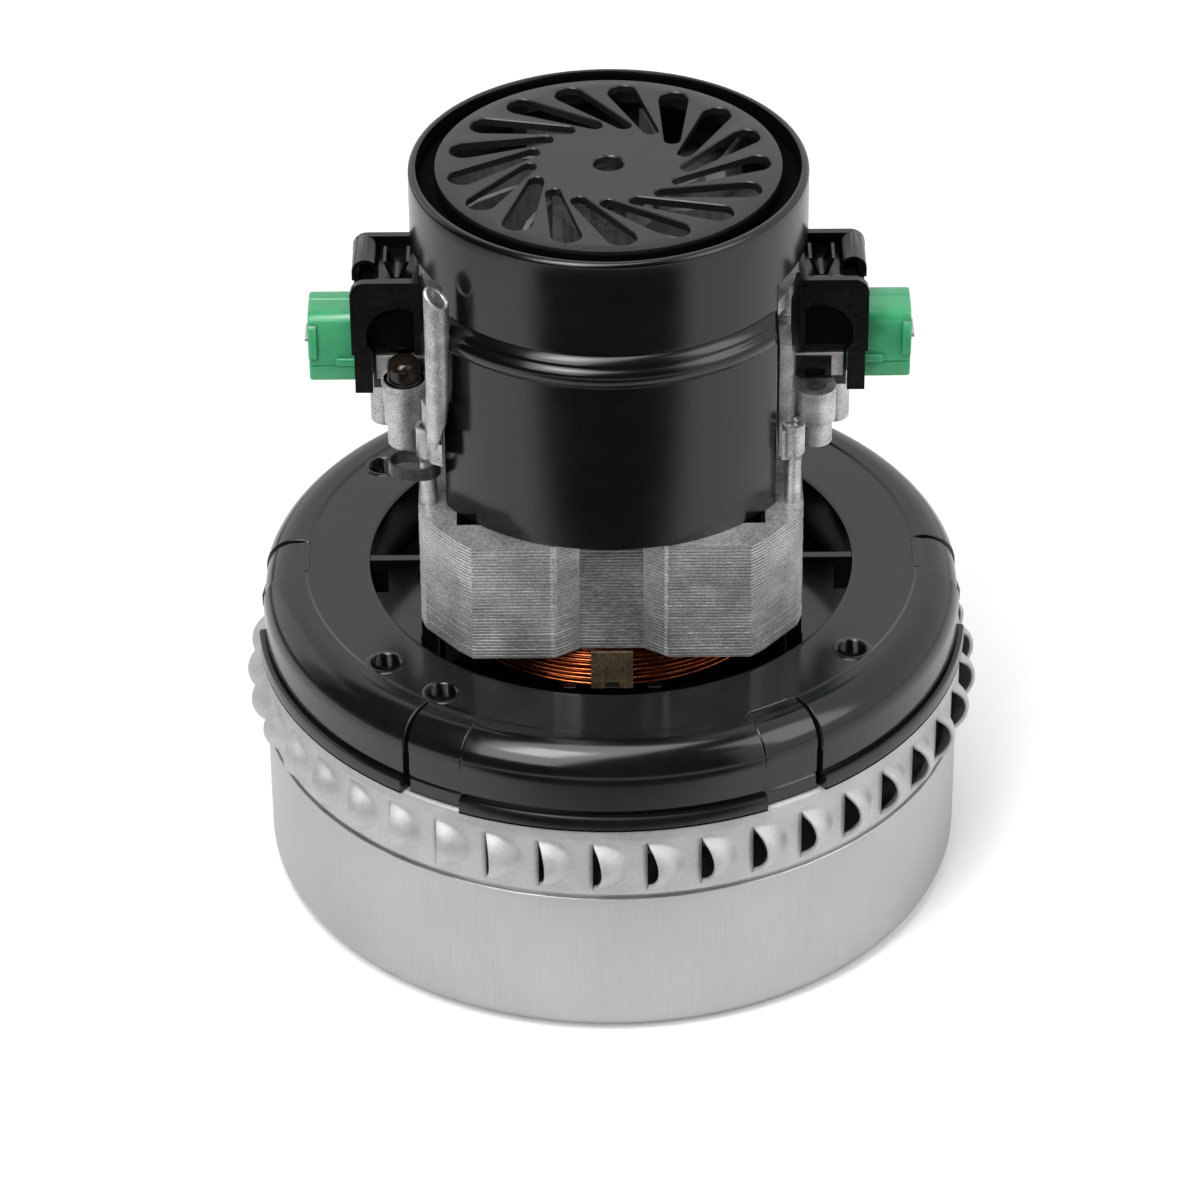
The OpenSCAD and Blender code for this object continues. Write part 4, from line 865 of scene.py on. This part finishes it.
def makeInsulators():
    end, low, start, step = insulatorEnd, insulatorLow, insulator["from"], insulator["step"]
    taller = insulator["taller"]
    body = loft([insulatorRing(*ring) for ring in (
            (start, 0.3), (start + 0.3, 0), (36, 0), (step, 0), (step + 0.1, 0, taller),
            (end - 0.5, 0, taller),
            (end - 0.2, 0.1, taller), (end - 0.05, 0.35, taller))])
    boreY, boreZ = insulator["bore"]
    middle = low + insulator["height"] / 2
    bore = loft([boxRing(x, boreY, middle - boreZ, middle + boreZ, 0.3)
            for x in (start - 0.01, insulator["boreEnd"])], False)
    wide = insulator["half"] + insulator["flangeOut"]
    flangeLow, flangeTop = low + 3.4, low + insulator["height"] - 1.6
    back = end - insulator["flange"]
    flange = loft([boxRing(x, wide - cut, flangeLow + cut, flangeTop - cut, radius) for x, cut, radius in (
            (back, 0.15, 1.5), (back + 0.15, 0, 1.6), (end - 0.25, 0, 1.6), (end, 0.3, 1.4))])
    tab = [boxRing(x, 0.75 - cut, low + 2.6 + cut, low + 4.3 - cut, 0.25)
        for x, cut in ((50, 0), (54.1, 0), (54.3, 0.2))]
    tabs = [loft([ring + [0, y * insulator["half"], 0] for ring in tab]) for y in (-1, 1)]
    for side, sign in (("left", -1), ("right", 1)):
        parts = []
        for points, faces in [body, bore, flange] + tabs:
            turn = 1 if (sign > 0) != (faces is bore[1]) else -1
            parts.append((points * [sign, 1, 1], [face[::-turn] for face in faces]))
        makePiece(side + "_brush_insulator_body", parts, "insulator_plastic", [side + "_brush_insulator"],
            sharp=35)


insulatorLow = sizeOf("right_brush_insulator")[0][2]
insulatorEnd = sizeOf("right_brush_insulator")[1][0]
makeInsulators()
print("brush insulators made")


# Rounded copies of the nodes whose form is right
def splitNode(node, chosen):
    # two copies of the node: the faces that the test chooses, and the others
    return [dropFaces(copyNode(node, True), lambda centre, normal: chosen(centre, normal) != wanted)
        for wanted in (True, False)]


def makeGuard(node):
    # the skins behind the windows are a piece of their own with painted shade, matte black with almost no
    # reflection, for they lie in the dark
    top = sizeOf(node)[1][2]

    def isSkin(centre, normal):
        deep = guard["skinIn"] < abs(centre[1]) < guard["skinOut"]
        return deep and abs(normal[1]) > 0.9 and centre[2] < top - 3

    skins, rest = splitNode(node, isSkin)
    linkPiece(node + "_recess", skins, "guard_plastic", [node], look="painted_shade_recess")
    addBevel(linkPiece(node + "_rounded", rest, "guard_plastic", [node]), guard["round"])


def makeTabs():
    # the card keeps its own look, and the tabs in front of it are black plastic
    node = "coil_end_tabs"
    front = sizeOf(node)[1][1] - tabLook["front"]
    tabs, card = splitNode(node, lambda centre,
        normal: abs(centre[1]) > front or abs(centre[0]) > tabLook["side"])
    addBevel(linkPiece(node + "_black", tabs, "card_black", [node], look="guard_plastic"), tabLook["round"])
    addBevel(linkPiece(node + "_card", card, "card_black", [node]), tabLook["cardRound"])


guard = {"skinIn": 5.5, "skinOut": 7.6, "round": 0.3}
tabLook = {"front": 1.6, "side": 4.3, "round": 0.15, "cardRound": 0.1}
for nodeName in both("brush_guard"):
    makeGuard(nodeName)
makeTabs()
for nodeName, width, slotName in (("lead_clip", 0.12, "clip_steel"), ("left_terminal", 0.1, "terminal_tin"),
        ("right_terminal", 0.1, "terminal_tin"), ("left_boss_screw", 0.15, "dark_steel")):
    addBevel(linkPiece(nodeName + "_rounded", copyNode(nodeName, True), slotName, [nodeName]), width)
print("rounded pieces made")

# Floor, light and camera
stageLook = {"floorSize": 4.0, "floorGrey": 0.93, "floorGlow": 0.14, "floorEnd": (0.125, 0.19),
    "floorDim": 0.05, "leftEnd": (-0.27, -0.4), "leftDim": 0.9, "worldFill": 0.34, "roomFrom": 0.08,
    "roomTo": -0.12, "roomGrey": 0.02, "roomTilt": 0.8, "roomSpread": 0.4, "floorShift": (0, 0.3, 0),
    "floorStretch": (0.7, 1, 1), "aimHeight": 0.08}
lamps = {
    # place in millimetres, width and height in metres, power in watts
    "key": ((-210, -360, 900), (0.46, 1.4), 8.8),
    "core": ((-215, -330, 860), (0.2, 0.4), 2.1),
    "left": ((-1000, 500, 400), (0.8, 0.9), 0.8),
    "right": ((760, -330, 800), (0.5, 0.8), 3.4),
}
viewFrom = {"place": (-2.31, -872.0, 650.4), "down": 34.267, "roll": 0.4494, "lens": 153.39, "sensor": 36.0,
    "clip": (0.05, 20)}


def makeStage():
    # reflections see the floor fade to the dark room in front of the table, and the camera sees a faint glow
    mesh = bpy.data.meshes.new("floor")
    half, low = stageLook["floorSize"] / 2, cadBounds[0][2]
    corners = [(-half, -half, low), (half, -half, low), (half, half, low), (-half, half, low)]
    mesh.from_pydata(corners, [], [(0, 1, 2, 3)])
    floor = bpy.data.objects.new("floor", mesh)
    scene.collection.objects.link(floor)
    material = bpy.data.materials.new("floor_paper")
    material.use_nodes = True
    tree = material.node_tree
    shader = tree.nodes["Principled BSDF"]
    shader.inputs["Roughness"].default_value = 0.9
    shader.inputs["Specular IOR Level"].default_value = 0.1
    shader.inputs["Emission Color"].default_value = (1, 1, 1, 1)
    path = addNode(tree, "ShaderNodeLightPath")
    coords = addNode(tree, "ShaderNodeTexCoord")
    parts = addNode(tree, "ShaderNodeSeparateXYZ")
    leftward = addNode(tree, "ShaderNodeMapRange", {
            "From Min": stageLook["leftEnd"][0], "From Max": stageLook["leftEnd"][1],
            "To Max": stageLook["leftDim"]})
    darkest = mathNode(tree, "MAXIMUM")
    place = addNode(tree, "ShaderNodeMapping",
        {"Location": stageLook["floorShift"], "Scale": stageLook["floorStretch"]})
    away = addNode(tree, "ShaderNodeVectorMath", operation="LENGTH")
    lit = addNode(tree, "ShaderNodeMapRange", {
            "From Min": stageLook["floorEnd"][0], "From Max": stageLook["floorEnd"][1], "To Min": 1.0,
            "To Max": stageLook["floorDim"]}, interpolation_type="SMOOTHSTEP")
    share = mathNode(tree, "MULTIPLY")
    color = addNode(tree, "ShaderNodeMix", {6: (*grey(stageLook["floorGrey"]), 1),
            7: (*grey(stageLook["roomGrey"]), 1)}, data_type="RGBA")
    glow = mathNode(tree, "MULTIPLY", {1: stageLook["floorGlow"]})
    addLinks(tree, (coords, "Object", place, "Vector"), (place, "Vector", away, 0),
        (away, "Value", lit, "Value"),
        (coords, "Object", parts, "Vector"), (parts, "X", leftward, "Value"), (lit, "Result", darkest, 0),
        (leftward, "Result", darkest, 1), (darkest, 0, share, 0), (path, "Is Glossy Ray", share, 1),
        (share, 0, color, 0), (color, 2, shader, "Base Color"), (path, "Is Camera Ray", glow, 0),
        (glow, 0, shader, "Emission Strength"))
    mesh.materials.append(material)


def makeWorld():
    # white for the camera, reflections and glass, and a soft grey fill for everything else; reflections see
    # the dark room in front and on the left, where 0.8 x + 0.4 |x| + y - 1.5 max(z - 0.6, 0) is below nought
    world = bpy.data.worlds.new("studio")
    scene.world = world
    world.use_nodes = True
    tree = world.node_tree
    background = tree.nodes["Background"]
    path = addNode(tree, "ShaderNodeLightPath")
    first, second = mathNode(tree, "MAXIMUM"), mathNode(tree, "MAXIMUM")
    strength = addNode(tree, "ShaderNodeMapRange", {"To Min": stageLook["worldFill"], "To Max": 1.0})
    coords = addNode(tree, "ShaderNodeTexCoord")
    parts = addNode(tree, "ShaderNodeSeparateXYZ")
    side = mathNode(tree, "ABSOLUTE")
    lean = mathNode(tree, "MULTIPLY_ADD", {1: stageLook["roomSpread"]})
    wedge = mathNode(tree, "MULTIPLY_ADD", {1: stageLook["roomTilt"]})
    high = addNode(tree, "ShaderNodeMapRange", {"From Min": 0.6, "From Max": 1.0, "To Max": 0.6})
    lowered = mathNode(tree, "SUBTRACT")
    room = addNode(tree, "ShaderNodeMapRange",
        {"From Min": stageLook["roomFrom"], "From Max": stageLook["roomTo"]},
        interpolation_type="SMOOTHSTEP")
    share = mathNode(tree, "MULTIPLY")
    color = addNode(tree, "ShaderNodeMix", {6: (1, 1, 1, 1), 7: (*grey(stageLook["roomGrey"]), 1)},
        data_type="RGBA")
    addLinks(tree, (path, "Is Camera Ray", first, 0), (path, "Is Glossy Ray", first, 1),
        (first, 0, second, 0),
        (path, "Is Transmission Ray", second, 1), (second, 0, strength, "Value"),
        (strength, "Result", background, "Strength"), (coords, "Generated", parts, "Vector"),
        (parts, "X", side, 0), (side, 0, lean, 0), (parts, "Y", lean, 2), (parts, "X", wedge, 0),
        (lean, 0, wedge, 2), (parts, "Z", high, "Value"), (wedge, 0, lowered, 0),
        (high, "Result", lowered, 1), (lowered, 0, room, "Value"), (room, "Result", share, 0),
        (path, "Is Glossy Ray", share, 1), (share, 0, color, 0), (color, 2, background, "Color"))


def makeLamps():
    for name, (place, size, power) in lamps.items():
        light = bpy.data.lights.new(name, "AREA")
        light.shape = "RECTANGLE"
        light.size, light.size_y = size
        light.energy = power
        lamp = bpy.data.objects.new(name, light)
        scene.collection.objects.link(lamp)
        lamp.location = Vector(place) * mm
        aim = Vector((0, 0, stageLook["aimHeight"])) - lamp.location
        lamp.rotation_euler = aim.to_track_quat("-Z", "Y").to_euler()


def makeCamera():
    # right and up turn about the line of sight by the roll
    down, roll = math.radians(viewFrom["down"]), math.radians(viewFrom["roll"])
    right0, up0 = Vector((1, 0, 0)), Vector((0, math.sin(down), math.cos(down)))
    right = right0 * math.cos(roll) - up0 * math.sin(roll)
    up = right0 * math.sin(roll) + up0 * math.cos(roll)
    back = right.cross(up)
    camera = bpy.data.cameras.new("camera")
    camera.lens, camera.sensor_width = viewFrom["lens"], viewFrom["sensor"]
    camera.clip_start, camera.clip_end = viewFrom["clip"]
    cameraObject = bpy.data.objects.new("camera", camera)
    scene.collection.objects.link(cameraObject)
    turn = Matrix((right, up, back)).transposed().to_4x4()
    cameraObject.matrix_world = Matrix.Translation(Vector(viewFrom["place"]) * mm) @ turn
    scene.camera = cameraObject


makeStage()
makeWorld()
makeLamps()
makeCamera()
scene.view_settings.view_transform = "Standard"
print("floor, light and camera made")
